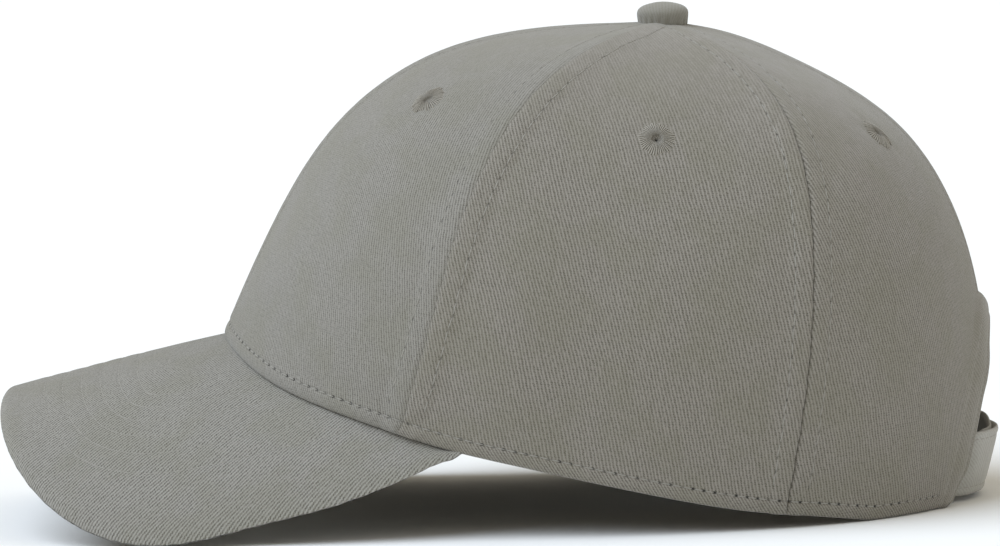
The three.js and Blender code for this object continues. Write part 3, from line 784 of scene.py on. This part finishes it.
def panelOutside(index, side, level, face, seamShares, maps):
    # how far the cloth's outside lies out of the crown's face
    look = panelLook
    seam, along = maps["seamRows"][..., 0], maps["seamRows"][..., 1]
    rise, around = maps["hemRows"][..., 0], maps["hemRows"][..., 1]
    row, hemRow = stitching["rowFromSeam"], stitching["rowFromHem"]
    pressFrom, pressTo, pressed = look["pressed"]
    flat = 1 - pressed * smoothStep(level, pressFrom, pressTo)
    roll = np.maximum(rolledEdge(seam, look["seamRoll"], seamShares["roll"] * flat),
                      rolledEdge(rise, look["hemRoll"], look["hemRollDepth"]))
    lip = look["lip"] * flat * bell(seam, look["seamRoll"], look["lipWidth"])
    raised = look["allowanceRise"] * flat * seamShares["rise"]
    raised = raised * (1 - smoothStep(seam, *(row + end for end in look["allowanceEnd"])))
    puffs = look["puff"] * flat * seamShares["rise"] * np.sin(math.pi * np.clip(seam / row, 0, 1))
    groove = look["grooveDepth"] * flat * seamShares["groove"] * bell(seam, row, look["grooveWidth"])
    hemBand = look["hemRise"] * (1 - smoothStep(rise, *(hemRow + end for end in look["hemEnd"])))
    hemGroove = look["hemGroove"] * bell(rise, hemRow, look["grooveWidth"])
    for drawn, run, pitch, distance, middle in ((groove, along, stitching["seamPitch"], seam, row),
                                                (hemGroove, around, stitching["hemPitch"], rise, hemRow)):
        scallop = look["scallop"] * bell(distance, middle, look["scallopWidth"])
        drawn += scallop * np.cos(2 * math.pi * run / pitch)
    centre, outward = eyeletPlace(index, side)
    away = face - centre
    fromEyelet = np.linalg.norm(away, axis=-1)
    seed = index * 2.3 + side
    waves = look["waves"] * softWaves(face, look["waveLength"], seed)
    waves = waves * smoothStep(seam, 0, look["waveFade"]) * smoothStep(rise, 0, look["waveFade"])
    waves = waves * smoothStep(fromEyelet, *look["wavesFrom"])
    besideRow, besideHem = (bell(distance, middle, reach) for distance, middle, reach in zip(
        (seam, rise), (row, hemRow), look["puckerReach"]))
    pucker = look["pucker"] * softWaves(face, look["puckerLength"], seed + 5) * (besideRow + besideHem)
    out = np.maximum(raised, hemBand) - look["allowanceRise"] + puffs + lip + waves + pucker - roll
    out = out + look["topLift"] * smoothStep(level, *look["liftLevels"]) - np.maximum(groove, hemGroove)
    # the satin stitches draw the cloth in, and it puckers round them
    levelWay = np.cross(outward, (0, 0, 1.0))
    turn = np.arctan2(away @ np.cross(levelWay, outward), away @ levelWay)
    rays = np.cos(look["rays"] * turn + 1.3 * np.sin(2 * turn + index))
    rays = look["rayRise"] * rays * bell(fromEyelet, look["rayAt"], look["rayReach"])
    depth, further, width = look["eyeletDip"]
    return out + rays - depth * bell(fromEyelet, eyeletLook["radius"] + further, width)


def panelInside(maps):
    look = panelLook
    seam, rise = maps["seamRows"][..., 0], maps["hemRows"][..., 0]
    closing = np.maximum(rolledEdge(seam, *look["insideSeam"]), rolledEdge(rise, *look["insideHem"]))
    width = look["allowanceWidth"]
    allowance = look["allowanceWall"] * (1 - smoothStep(seam, width - 0.5, width))
    dent = look["insideDent"] * bell(seam, stitching["rowFromSeam"], 0.6)
    return -look["wall"] - allowance + dent + closing


def openingCurve(out, steps):
    # the arch in y and z, standing out from its edge
    look, points = borderLook, []
    power = 2 / look["bluntness"]
    for i in range(steps + 1):
        turn = math.pi * i / steps
        side, high = math.cos(turn), math.sin(turn)
        y = -math.copysign(abs(side) ** power, side) * (look["halfWidth"] + out)
        z = abs(high) ** power * (look["height"] + out)
        # the corner at the hem is rounded off
        radius = look["cornerRound"]
        below = max(0.0, radius - z)
        widen = (radius - math.sqrt(radius ** 2 - below ** 2)) * max(0.0, 1 - max(0.0, out) / look["width"])
        points.append((y + math.copysign(widen, y), z))
    return np.array(points)


def archCutter():
    # a prism of the back opening's outline
    look, bm = borderLook, bmesh.new()
    outline = openingCurve(0.0, look["cutSteps"])
    points = [(outline[0][0], look["cutLow"]), *outline, (outline[-1][0], look["cutLow"])]
    face = bm.faces.new([bm.verts.new((look["cutFrom"] * mm, y * mm, z * mm)) for y, z in points])
    grown = bmesh.ops.extrude_face_region(bm, geom=[face])["geom"]
    far = [corner for corner in grown if isinstance(corner, bmesh.types.BMVert)]
    bmesh.ops.translate(bm, verts=far, vec=(look["cutThrough"] * mm, 0, 0))
    bmesh.ops.recalc_face_normals(bm, faces=bm.faces)
    return toPiece("archCutter", bm, [])


def eyeletCutter(centre, outward):
    bm = bmesh.new()
    turn = Vector(outward).to_track_quat("Z", "Y").to_matrix().to_4x4()
    radius, depth = eyeletLook["cutRadius"] * mm, eyeletLook["cutDepth"] * mm
    bmesh.ops.create_cone(bm, cap_ends=True, segments=40, radius1=radius, radius2=radius, depth=depth,
                          matrix=Matrix.Translation(Vector(centre) * mm) @ turn)
    return toPiece("eyeletCutter", bm, [])


def topstitch(name, outside, normals, level, maps):
    # a row beside both seams, and the row above the hem
    border = borderLook["width"] + stitching["trimGap"]
    top, edge = borderLook["height"] + border, borderLook["halfWidth"] + border
    clearOfArch = lambda place: abs(place[1]) >= stitching["archGap"] or place[2] >= top
    clearOfBorder = lambda place: abs(place[1]) > edge or place[0] < stitching["backFrom"]
    for columns in (slice(None), slice(None, None, -1)):
        seams, run = maps["seamRows"][:, columns, 0], maps["seamRows"][:, columns, 1][:, 0]
        half = seams.shape[1] // 2
        path, lows = rowAcross(outside[:, columns], seams[:, :half], stitching["rowFromSeam"])
        outs = normals[:, columns][np.arange(len(lows)), lows]
        used = (run > stitching["rowFromHem"]) & (level[:, 0] < stitching["topLevel"])
        sewRow(threads["crown"], path[used], outs[used], run[used], stitching["seamPitch"],
               keep=clearOfArch if name == "back" else None)
    rise, run = maps["hemRows"][..., 0], maps["hemRows"][0, :, 1]
    path, lows = rowAcross(outside.swapaxes(0, 1), rise.T, stitching["rowFromHem"])
    outs = normals.swapaxes(0, 1)[np.arange(len(lows)), lows]
    sewRow(threads["crown"], path, outs, run, stitching["hemPitch"], keep=clearOfBorder)


def makePanel(index, side, word):
    name = panelNames[index]
    angle, level, face, seamShares, maps = panelGrid(index, side, panelLook["fine"])
    if name == "back":
        backGrids[side] = (angle, level, maps["cloth"])
    outside = crownPlace(angle, level, panelOutside(index, side, level, face, seamShares, maps))
    inAngle, inLevel, _, _, inMaps = panelGrid(index, side, panelLook["plain"])
    inside = crownPlace(inAngle, inLevel, panelInside(inMaps))
    for places, footing in zip((outside, inside), panelLook["footing"]):
        places[..., 2] = np.maximum(places[..., 2], footing)
    cloth = cloths["twillDrawnFlat" if name == "front" else "washedCottonTwill"]
    node = f"panel_{name}_{word}"
    piece = closedSheet("cloth_" + node, [(outside, maps), (inside, inMaps)],
                        [cloth, cloths["twillReverse"]])
    cutters = [eyeletCutter(*eyeletPlace(index, side))]
    if name == "back":
        cutters.append(archCutter())
    cutAway(piece, cutters)
    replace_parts(piece, node)
    width = np.ptp(maps["cloth"][..., 0], axis=1).max() * mm
    length = maps["cloth"][..., 1].max() * mm
    round(min(sheetArea(face) * mm * mm, width * length), 6)
    topstitch(name, outside, crownOutward(angle, level), level, maps)


threads = {"crown": bmesh.new(), "peak": bmesh.new(), "trim": bmesh.new()}
backGrids = {}     # the border finds its cloth's coordinates here
for side, word in ((-1, "left"), (1, "right")):
    for index in range(len(panelNames)):
        makePanel(index, side, word)
    print("crown panels made:", word)


# Eyelets: satin stitches worked round a small hole

def makeEyelet(index, side, node):
    look = eyeletLook
    section = np.array(look["section"] * 3)     # three rounds, so that the middle one is smooth all through
    count = len(look["section"])
    steps = np.linspace(count, 2 * count, look["profileSteps"] + 1)[:-1]
    bm = spun(naturalSpline(np.arange(len(section)), section)(steps), True, look["turnSteps"])
    satin = bm.loops.layers.uv.new("satin")
    for face in bm.faces:
        middle = face.calc_center_median()
        faceTurn = math.atan2(middle.y, middle.x)
        for loop in face.loops:
            x, y, _ = loop.vert.co / mm
            turn = math.atan2(y, x)
            turn += 2 * math.pi * round((faceTurn - turn) / (2 * math.pi))
            loop[satin].uv = turn / (2 * math.pi) * look["stitches"], math.hypot(x, y)
    for vert in bm.verts:
        x, y, z = vert.co / mm
        radius, turn = math.hypot(x, y), math.atan2(y, x)
        stitch = turn / (2 * math.pi) * look["stitches"]
        slit = 1 - abs(math.sin(math.pi * stitch)) ** 0.7
        # each stitch is a little longer or shorter, always in the same way
        number = math.floor(stitch) % look["stitches"]
        loose = math.sin(number * 12.9898 + 78.233 * side) * 43758.5453
        loose = loose - math.floor(loose) - 0.5
        outer = max(0.0, (radius - look["outerFrom"]) / (look["radius"] - look["outerFrom"]))
        top = smoothStep(z, -1.0, -0.4)
        radius += outer ** 2 * (look["ragged"] * loose - look["notch"] * slit)
        z -= top * (smoothStep(radius, 1.0, 2.2) * look["grooveDepth"] * slit - look["unevenRise"] * loose)
        vert.co = Vector((radius * math.cos(turn), radius * math.sin(turn), z)) * mm
    centre, outward = eyeletPlace(index, side)
    turnTo = Vector(outward).to_track_quat("Z", "Y").to_matrix()
    seat = Vector(centre + look["seat"] * outward) * mm
    bmesh.ops.transform(bm, matrix=Matrix.Translation(seat) @ turnTo.to_4x4(), verts=bm.verts)
    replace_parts(toPiece("stitched_" + node, bm, [satinThread], None), node)


for side, word in ((-1, "left"), (1, "right")):
    for index, name in enumerate(panelNames):
        makeEyelet(index, side, f"eyelet_{name}_{word}")
print("eyelets made")


# Peak

peakLook = {
    "thickness": 3.8, "endThickness": 1.6, "archRadius": 87.0, "tipX": -136.7, "tipZ": 36.0, "slope": 0.2455,
    "widestX": -65.7, "halfWidth": 77.0, "bluntness": 3.1, "faceAngle": math.radians(67),
    "tipAngle": math.radians(68.6), "endTaper": 0.998,
    # its side runs nearly straight in to the crown
    "rearSide": [(-43.0, 77.22), (-35.0, 76.92), (-28.0, 76.49), (-21.5, 75.95), (-16.0, 75.54)],
    "tipLift": 1.9, "tipFrom": 0.955,
    "innerReach": -2.1, "hemRise": 0.15, "edgeReach": 2.4,
    "fine": (300, 130), "plain": (150, 65), "closerAtRim": 1.25,
    "outlineSteps": (800, 1601), "batch": 4000,         # so many places are measured to the rim at a time
    "grooveDepth": 0.1, "grooveWidth": 0.6, "puff": 0.07, "puffFrom": (8, 11), "waves": 0.16,
    "waveLength": 34, "waveFade": 10, "base": -0.25, "threadShare": 0.9,
    "rowClear": 1.5,
}


def peakOutline():
    look, points = peakLook, []
    power = 2 / look["bluntness"]
    for turn in np.linspace(0, math.pi / 2, 17):
        points.append((look["widestX"] - (look["widestX"] - look["tipX"]) * abs(math.cos(turn)) ** power,
                       look["halfWidth"] * math.sin(turn) ** power))
    end = crownPlace(look["faceAngle"], 0.0)
    tip = crownPlace(look["tipAngle"], 0.0, look["innerReach"] + 0.05)
    points = np.array([*points, *look["rearSide"], end[:2], tip[:2]])
    whole = naturalSpline(runLength(points), points)
    dense = whole(np.linspace(0, runLength(points)[-1], look["outlineSteps"][0]))
    return dense, runLength(dense)


rimPlaces, rimRun = peakOutline()


def rimAt(along):
    # the rim in x and y; along runs from -1 at the wearer's left end to 1 at the right one
    x, y = (np.interp(np.abs(along) * rimRun[-1], rimRun, rimPlaces[:, k]) for k in (0, 1))
    return np.stack([x, np.where(along < 0, -1.0, 1.0) * y], -1)


def peakGrid(steps):
    # share runs from the hem out to the rim
    look = peakLook
    share = 1 - (1 - np.linspace(0, 1, steps[1] + 1)) ** look["closerAtRim"]
    along, share = np.meshgrid(look["endTaper"] * np.linspace(-1, 1, steps[0] + 1), share)
    hemAngle = look["tipAngle"] * along
    hem = crownPlace(hemAngle, hemLevel(hemAngle), look["innerReach"])
    hemTop = crownPlace(hemAngle, hemLevel(hemAngle))[..., 2] + look["hemRise"]
    plan = hem[..., :2] + (rimAt(along) - hem[..., :2]) * share[..., None]
    archAt = lambda y: look["archRadius"] - np.sqrt(look["archRadius"] ** 2 - y ** 2)
    topAt = lambda x, y: look["tipZ"] + look["slope"] * (x - look["tipX"]) - archAt(y)
    hemTop = hemTop + look["tipLift"] * smoothStep(np.abs(along), look["tipFrom"], 1)
    settle = hemTop - topAt(hem[..., 0], hem[..., 1])
    z = topAt(plan[..., 0], plan[..., 1]) + settle * (1 - share) ** 2
    thick = look["thickness"] + (look["endThickness"] - look["thickness"]) * np.abs(along) ** 3
    # distance to the rim and the place along it, found on the whole outline
    rimShares = np.linspace(-1, 1, look["outlineSteps"][1])
    outline, flat = rimAt(rimShares), plan.reshape(-1, 2)
    nearest = np.empty(len(flat), int)
    for start in range(0, len(flat), look["batch"]):
        some = slice(start, start + look["batch"])
        nearest[some] = np.linalg.norm(flat[some, None] - outline[None], axis=-1).argmin(1)
    toRim = np.linalg.norm(flat - outline[nearest], axis=-1).reshape(along.shape)
    alongRim = (rimShares[nearest] * rimRun[-1]).reshape(along.shape)
    across = look["archRadius"] * np.arcsin(plan[..., 1] / look["archRadius"])
    maps = {
        "cloth": np.stack([-across, plan[..., 0] * math.hypot(1, look["slope"])], -1),
        "rimRows": np.stack([toRim, alongRim], -1),
    }
    return plan, z, thick, maps


def peakFace(steps, under):
    look, rows = peakLook, needleRows["rimRows"]
    plan, z, thick, maps = peakGrid(steps)
    toRim = maps["rimRows"][..., 0]
    number = np.clip(np.round((toRim - rows["first"]) / rows["spacing"]), 0, rows["count"] - 1)
    fromRow = toRim - rows["first"] - number * rows["spacing"]
    edge = rolledEdge(toRim, look["edgeReach"], 1.0) * thick / 2
    groove = look["grooveDepth"] * bell(fromRow, 0, look["grooveWidth"])
    puff = look["puff"] * (1 - bell(fromRow, 0, 1.6)) * smoothStep(toRim, *look["puffFrom"])
    middle = np.concatenate([plan, z[..., None]], -1)
    waves = look["waves"] * softWaves(middle, look["waveLength"], 3.0 if under else 1.0)
    relief = look["base"] + puff + waves * smoothStep(toRim, 0, look["waveFade"]) - groove
    high = z - thick + edge - relief if under else z - edge + relief
    if under:
        maps["cloth"] = maps["cloth"] * (-1, 1)
    return np.concatenate([plan, high[..., None]], -1), maps


def makePeak():
    look, rows = peakLook, needleRows["rimRows"]
    faces = [peakFace(look["fine"], False), peakFace(look["plain"], True)]
    # seen from above with the crown at the top of the picture, rows go up from the rim
    turned = [(places[::-1, ::-1], {name: values[::-1, ::-1] for name, values in maps.items()})
              for places, maps in faces]
    piece = closedSheet("covered_peak", turned, [cloths["twillOverStiffener"]] * 2)
    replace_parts(piece, "peak")
    top, topMaps = faces[0]
    width, length = (round(np.ptp(topMaps["cloth"][..., k]) * mm, 4) for k in (0, 1))
    round(sheetArea(top) * mm * mm, 6)
    for (places, maps), up in zip(faces, (1.0, -1.0)):
        toRim, alongRim = maps["rimRows"][::-1, :, 0].T, maps["rimRows"][::-1, :, 1].T
        lines = np.concatenate([places[::-1].swapaxes(0, 1), alongRim[..., None]], -1)
        for number in range(rows["count"]):
            distance = rows["first"] + number * rows["spacing"]
            # lines near the peak's ends are too short for the inner rows
            reached = toRim[:, -1] >= distance + look["rowClear"]
            path, _ = rowAcross(lines[reached], toRim[reached], distance)
            outs = np.stack([np.full(len(path), -look["slope"]), path[:, 1] / look["archRadius"],
                             np.ones(len(path))], -1)
            sewRow(threads["peak"], path[:, :3], unitRows(outs * up), path[:, 3], rows["pitch"],
                   look["threadShare"])


makePeak()
print("peak made")


# Button: a dome covered in twill that is gathered under its edge

buttonLook = {
    "radius": 7.05, "height": 5.5, "seat": (-0.45, 0.0, -0.35), "turnSteps": 180, "profileSteps": 44,
    "pleats": 19, "pleatDepth": 0.32, "pleatHeight": 2.8, "unevenRise": 0.12,
    # distance from the middle and height, as shares of the radius and the height
    "profile": [
        (0.0, -0.24), (0.6, -0.24), (0.91, -0.22), (0.955, -0.12), (0.975, 0.06), (0.993, 0.24), (1.0, 0.38),
        (0.985, 0.53), (0.91, 0.68), (0.73, 0.825), (0.46, 0.93), (0.22, 0.985), (0.0, 1.0),
    ],
}


def makeButton():
    look = buttonLook
    points = np.array(look["profile"]) * (look["radius"], look["height"])
    run = runLength(points)
    curve = naturalSpline(run, points)(np.linspace(0, run[-1], look["profileSteps"] + 1))
    curve[:, 0] = np.maximum(curve[:, 0], 0)
    curve[0, 0] = curve[-1, 0] = 0
    bm = spun(curve, False, look["turnSteps"])
    curveRun = runLength(curve)
    flat = []
    for vert in bm.verts:
        x, y, z = vert.co / mm
        radius, turn = math.hypot(x, y), math.atan2(y, x)
        # the cover as one flat round of cloth, drawn down over the dome
        spot = np.argmin((curve[:, 0] - radius) ** 2 + (curve[:, 1] - z) ** 2)
        reach = curveRun[-1] - curveRun[spot]
        flat.append((reach * math.cos(turn), reach * math.sin(turn)))
        low = (1 - min(1.0, max(0.0, z / look["pleatHeight"]))) ** 1.5 * min(1.0, radius / 4)
        pleat = math.cos(look["pleats"] * turn + 1.2 * math.sin(3 * turn))
        radius -= look["pleatDepth"] * low * (0.5 + 0.5 * pleat) ** 2
        z += look["unevenRise"] * math.sin(2 * turn + 0.7) * (radius / look["radius"]) ** 2 * min(1, z)
        vert.co = Vector((radius * math.cos(turn), radius * math.sin(turn), z)) * mm
    bmesh.ops.translate(bm, verts=bm.verts, vec=Vector(crownPlace(0.0, 1.0) + look["seat"]) * mm)
    piece = toPiece("covered_button", bm, [cloths["twillOnButton"]], {"cloth": np.array(flat)})
    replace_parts(piece, "top_button")


makeButton()
print("button made")


# Strips: the border of the back opening, the strap's tabs and the band inside the hem

def makeStrip(name, sections, cloth, material, node):
    # a strip lofted through closed sections, its ends closed
    bm = bmesh.new()
    up, across, _ = layGrid(bm, np.concatenate([sections, sections[:, :1]], axis=1), 0, False)
    rows = cloth[up, across]
    bm.verts.index_update()
    layer = bm.loops.layers.uv.new("cloth")
    for face in bm.faces:
        for loop in face.loops:
            loop[layer].uv = rows[loop.vert.index]
    bmesh.ops.remove_doubles(bm, verts=bm.verts, dist=1e-7)
    bmesh.ops.holes_fill(bm, edges=[edge for edge in bm.edges if edge.is_boundary], sides=0)
    bmesh.ops.recalc_face_normals(bm, faces=bm.faces)
    piece = toPiece(name, bm, [cloths[material]], None)
    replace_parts(piece, node)
    return piece


def sectionRun(section):
    return runLength(np.concatenate([section, section[:1]]))


def backCloth(angle, level):
    # the back panels' own cloth coordinates at places on the crown's face
    found = []
    for turn, high in zip(angle, level):
        side = 1 if turn <= math.pi else -1
        angles, levels, cloth = backGrids[side]
        turned = turn if side > 0 else turn - 2 * math.pi
        row = np.interp(high, levels[:, 0], np.arange(len(levels)))
        low = min(int(row), len(levels) - 2)
        under, over = (np.array([np.interp(turned, angles[r, ::-1], cloth[r, ::-1, k]) for k in (0, 1)])
                       for r in (low, low + 1))
        found.append(under * (1 - row + low) + over * (row - low))
    return np.array(found)


def makeBorder():
    look = borderLook
    columns, cloth = [], []
    for distance, out in look["section"]:
        y, z = openingCurve(distance, look["steps"]).T
        z = np.maximum(z, look["foot"])
        angle, level = findAtBack(y, z)
        nearEdge = np.clip(1 - distance / look["width"], 0, 1)
        standing = look["flare"] * bell(z, look["flareAt"], look["flareReach"]) * nearEdge
        beside = smoothStep(z, *look["riseStarts"]) * (1 - smoothStep(z, *look["riseEnds"]))
        standing = standing + look["edgeRise"] * beside * nearEdge
        topReach, fade = look["topReach"]
        overTop = smoothStep(z, *look["topHeights"]) * smoothStep(topReach - distance, 0, fade)
        standing = standing + look["topRise"] * overTop * (out > look["outside"])
        place = crownPlace(angle, level, out + standing)
        place[:, 2] = np.maximum(place[:, 2], look["footing"])
        columns.append(place)
        cloth.append(backCloth(angle, np.clip(level, 0, None)))
    sections = np.stack(columns, 1)
    piece = makeStrip("folded_border", sections, np.stack([*cloth, cloth[0]], 1), "turnedTwillEdge",
                      "opening_border")
    for column in look["rows"]:
        path = sections[:, column]
        y, z = openingCurve(look["section"][column][0], look["steps"]).T
        outs = crownOutward(*findAtBack(y, np.maximum(z, look["foot"])))
        sewRow(threads["trim"], path, outs, runLength(path), stitching["trimPitch"])


strapLook = {
    "plan": [(115.5, -35.2), (118.7, -29.4), (121.7, -24.3), (126.8, -17.0), (130.6, -8.8), (131.7, 0.0),
             (130.6, 8.8), (127.2, 16.2)],
    "lowZ": 1.6, "highZ": 19.2, "wall": 1.5, "lap": 1.9, "lapEnds": (-24, -17),
    "leans": (0.2, 0.27), "leanEnds": (-28, -14),       # how far it leans at its root and past it
    "endRound": 4.0, "endShare": 0.07, "steps": 110,
    # the inner tab lies a little higher than the outer one, at its end and at its root
    "endLift": 2.5, "endLiftFrom": (-6, 9), "rootLift": 1.5, "rootLiftFrom": (15, 30),
    # the section of a tab: share of its height, and how far out of its middle as a share of its wall
    "section": [
        (0.012, 0.25), (0.05, 0.48), (0.09, 0.5), (0.125, 0.38), (0.16, 0.5), (0.25, 0.56), (0.4, 0.58),
        (0.6, 0.58), (0.75, 0.56), (0.84, 0.5), (0.875, 0.38), (0.91, 0.5), (0.95, 0.48), (0.988, 0.25),
        (1.0, 0.0), (0.988, -0.25), (0.95, -0.45), (0.875, -0.42), (0.6, -0.48), (0.4, -0.48),
        (0.125, -0.42), (0.05, -0.45), (0.012, -0.25), (0.0, 0.0),
    ],
    "rows": (3, 10),       # places in the section
    "cutWidth": 19.2,
}


def makeStrapTab(name, node, side):
    look = strapLook
    plan = np.array(look["plan"])
    run = runLength(plan)
    share = np.linspace(0, 1, look["steps"] + 1)
    curve = naturalSpline(run, plan)
    here = curve(share * run[-1])
    along = unitRows(curve(share * run[-1] + 0.01) - curve(share * run[-1] - 0.01))
    out = np.stack([along[:, 1], -along[:, 0]], -1)
    across = here[:, 1]
    rootLean, lean = look["leans"]
    slope = rootLean + (lean - rootLean) * smoothStep(across, *look["leanEnds"])
    intoEnd = look["endRound"] * np.maximum(0, 1 - (1 - share) / look["endShare"]) ** 2
    low, high = look["lowZ"] + intoEnd, look["highZ"] - intoEnd
    middle = (look["lowZ"] + look["highZ"]) / 2
    stepOut = lift = 0.0
    if side > 0:
        stepOut = look["lap"] * smoothStep(across, *look["lapEnds"])
    else:
        lift = look["endLift"] * smoothStep(-across, *look["endLiftFrom"])
        lift = lift + look["rootLift"] * smoothStep(-across, *look["rootLiftFrom"])
    columns = []
    for height, wall in look["section"]:
        z = low + (high - low) * height
        reach = stepOut + slope * (z - middle) + wall * look["wall"]
        flat = here + out * reach[:, None]
        columns.append(np.stack([flat[:, 0], side * flat[:, 1], z + lift], -1))
    sections = np.stack(columns, 1)
    around = sectionRun(np.array(look["section"]) * (look["highZ"] - look["lowZ"], look["wall"]))
    length = runLength(sections[:, 6])
    # the tabs' cloth is painted paler than the crown's: painted light on the strap
    piece = makeStrip(name, sections, np.stack(np.meshgrid(around * side, length), -1), "foldedTwillPaintedPale",
                      node)
    outs = unitRows(np.stack([out[:, 0], side * out[:, 1], -slope], -1))
    for column in look["rows"]:
        path = sections[:, column]
        sewRow(threads["trim"], path, outs, runLength(path), stitching["trimPitch"])


bandLook = {
    "foot": 0.004, "top": 0.165,       # levels on the crown
    "gap": 0.6, "wall": 1.2, "height": 28.0, "endAngle": math.radians(142), "steps": 300,
    "waves": 0.3, "waveLength": 23,
    # the section: share of its height, and how far in from its outer face as a share of its wall
    "section": [
        (0.0, 0.5), (0.015, 0.1), (0.05, 0.0), (0.3, 0.0), (0.6, 0.0), (0.95, 0.0), (0.985, 0.1), (1.0, 0.5),
        (0.985, 0.9), (0.95, 1.0), (0.915, 1.0), (0.89, 0.8), (0.865, 1.0), (0.6, 1.05), (0.3, 1.05),
        (0.05, 1.0), (0.015, 0.9),
    ],
    "row": 11,             # its place in the section
    "cutWidth": 29.0,
}


def makeBand():
    look = bandLook
    angle = look["endAngle"] * np.linspace(-1, 1, look["steps"] + 1)
    levelAt = lambda height: np.full_like(angle, look["foot"] + (look["top"] - look["foot"]) * height)
    columns = []
    for height, wall in look["section"]:
        level = levelAt(height)
        out = -panelLook["wall"] - look["gap"] - look["wall"] * wall
        ripple = look["waves"] * softWaves(crownPlace(angle, level), look["waveLength"], 4) * height
        columns.append(crownPlace(angle, level, out - np.abs(ripple) * (wall > 0.5)))
    sections = np.stack(columns, 1)
    length = runLength(sections[:, 3])
    around = sectionRun(np.array(look["section"]) * (look["height"], look["wall"]))
    piece = makeStrip("inner_band", sections, np.stack(np.meshgrid(around, length), -1), "bandCotton",
                      "sweatband")
    path = sections[:, look["row"]]
    outs = -crownOutward(angle, levelAt(look["section"][look["row"]][0]))
    sewRow(threads["trim"], path, outs, runLength(path), stitching["trimPitch"])


makeBorder()
makeStrapTab("strap_tab_outer", "strap_outer", 1)
makeStrapTab("strap_tab_inner", "strap_inner", -1)
makeBand()
for place, bm in threads.items():
    toPiece("stitches_" + place, bm, [sewingThread], None)
print("strips and stitches made")


# Stage: a pale floor, soft studio light and the camera

stageLook = {
    "floor": "f2f2f0", "world": "fff6e4", "worldStrength": 0.575, "size": 12.0,
    # name, way to the light, how wide it looks in degrees, strength and colour
    "lights": [
        {"name": "keySoftbox", "toward": (-0.58, -0.26, 0.78), "width": 60, "power": 3.0, "colour": "deecff"},
        {"name": "lowFill", "toward": (0.93, -0.34, 0.14), "width": 70, "power": 0.65, "colour": "dcecff"},
    ],
}

viewpoint = {
    "target": (0.44, 0.0, 64.25),   # millimetres, at the middle of the picture
    "distance": 1600.0,
    "elevation": 4.62,
    "roll": 1.506,                  # degrees that the picture's right side is raised by
    "lens": 209.5, "sensor": 36.0, "farthest": 50.0,
}


def floorMaterial():
    # smooth matt board, painted: even and pale, with no gloss
    material, tree = startMaterial("paleFloor")
    pale = hexColour(stageLook["floor"])
    shader = addNode(tree, "ShaderNodeBsdfPrincipled",
                     {"Base Color": pale, "Roughness": 1.0, "Specular IOR Level": 0.0})
    addNode(tree, "ShaderNodeOutputMaterial", {"Surface": shader.outputs[0]})
    return material


def makeFloor():
    bm = bmesh.new()
    bmesh.ops.create_grid(bm, x_segments=2, y_segments=2, size=stageLook["size"])
    mesh = bpy.data.meshes.new("floor")
    bm.to_mesh(mesh)
    bm.free()
    mesh.materials.append(floorMaterial())
    floor = bpy.data.objects.new("floor", mesh)
    bpy.context.scene.collection.objects.link(floor)


def makeLights():
    world = bpy.data.worlds.new("softRoom")
    world.use_nodes = True
    background = world.node_tree.nodes["Background"]
    background.inputs["Color"].default_value = hexColour(stageLook["world"])
    background.inputs["Strength"].default_value = stageLook["worldStrength"]
    bpy.context.scene.world = world
    for row in stageLook["lights"]:
        lamp = bpy.data.lights.new(row["name"], "SUN")
        lamp.angle = math.radians(row["width"])
        lamp.energy = row["power"]
        lamp.color = hexColour(row["colour"])[:3]
        holder = bpy.data.objects.new(row["name"], lamp)
        holder.rotation_euler = Vector(row["toward"]).to_track_quat("Z", "Y").to_euler()
        bpy.context.scene.collection.objects.link(holder)


def makeCamera():
    tilt, roll = math.radians(viewpoint["elevation"]), math.radians(viewpoint["roll"])
    right, up = Vector((1, 0, 0)), Vector((0, math.sin(tilt), math.cos(tilt)))
    ahead = Vector((0, math.cos(tilt), -math.sin(tilt)))
    lens = bpy.data.cameras.new("camera")
    lens.lens = viewpoint["lens"]
    lens.sensor_width = viewpoint["sensor"]
    lens.clip_end = viewpoint["farthest"]
    camera = bpy.data.objects.new("camera", lens)
    axisX = right * math.cos(roll) - up * math.sin(roll)
    axisY = right * math.sin(roll) + up * math.cos(roll)
    place = (Vector(viewpoint["target"]) - ahead * viewpoint["distance"]) * mm
    camera.matrix_world = Matrix([*zip(axisX, axisY, -ahead, place), (0, 0, 0, 1)])
    bpy.context.scene.collection.objects.link(camera)
    bpy.context.scene.camera = camera


makeFloor()
makeLights()
makeCamera()
bpy.context.scene.view_settings.view_transform = "Standard"
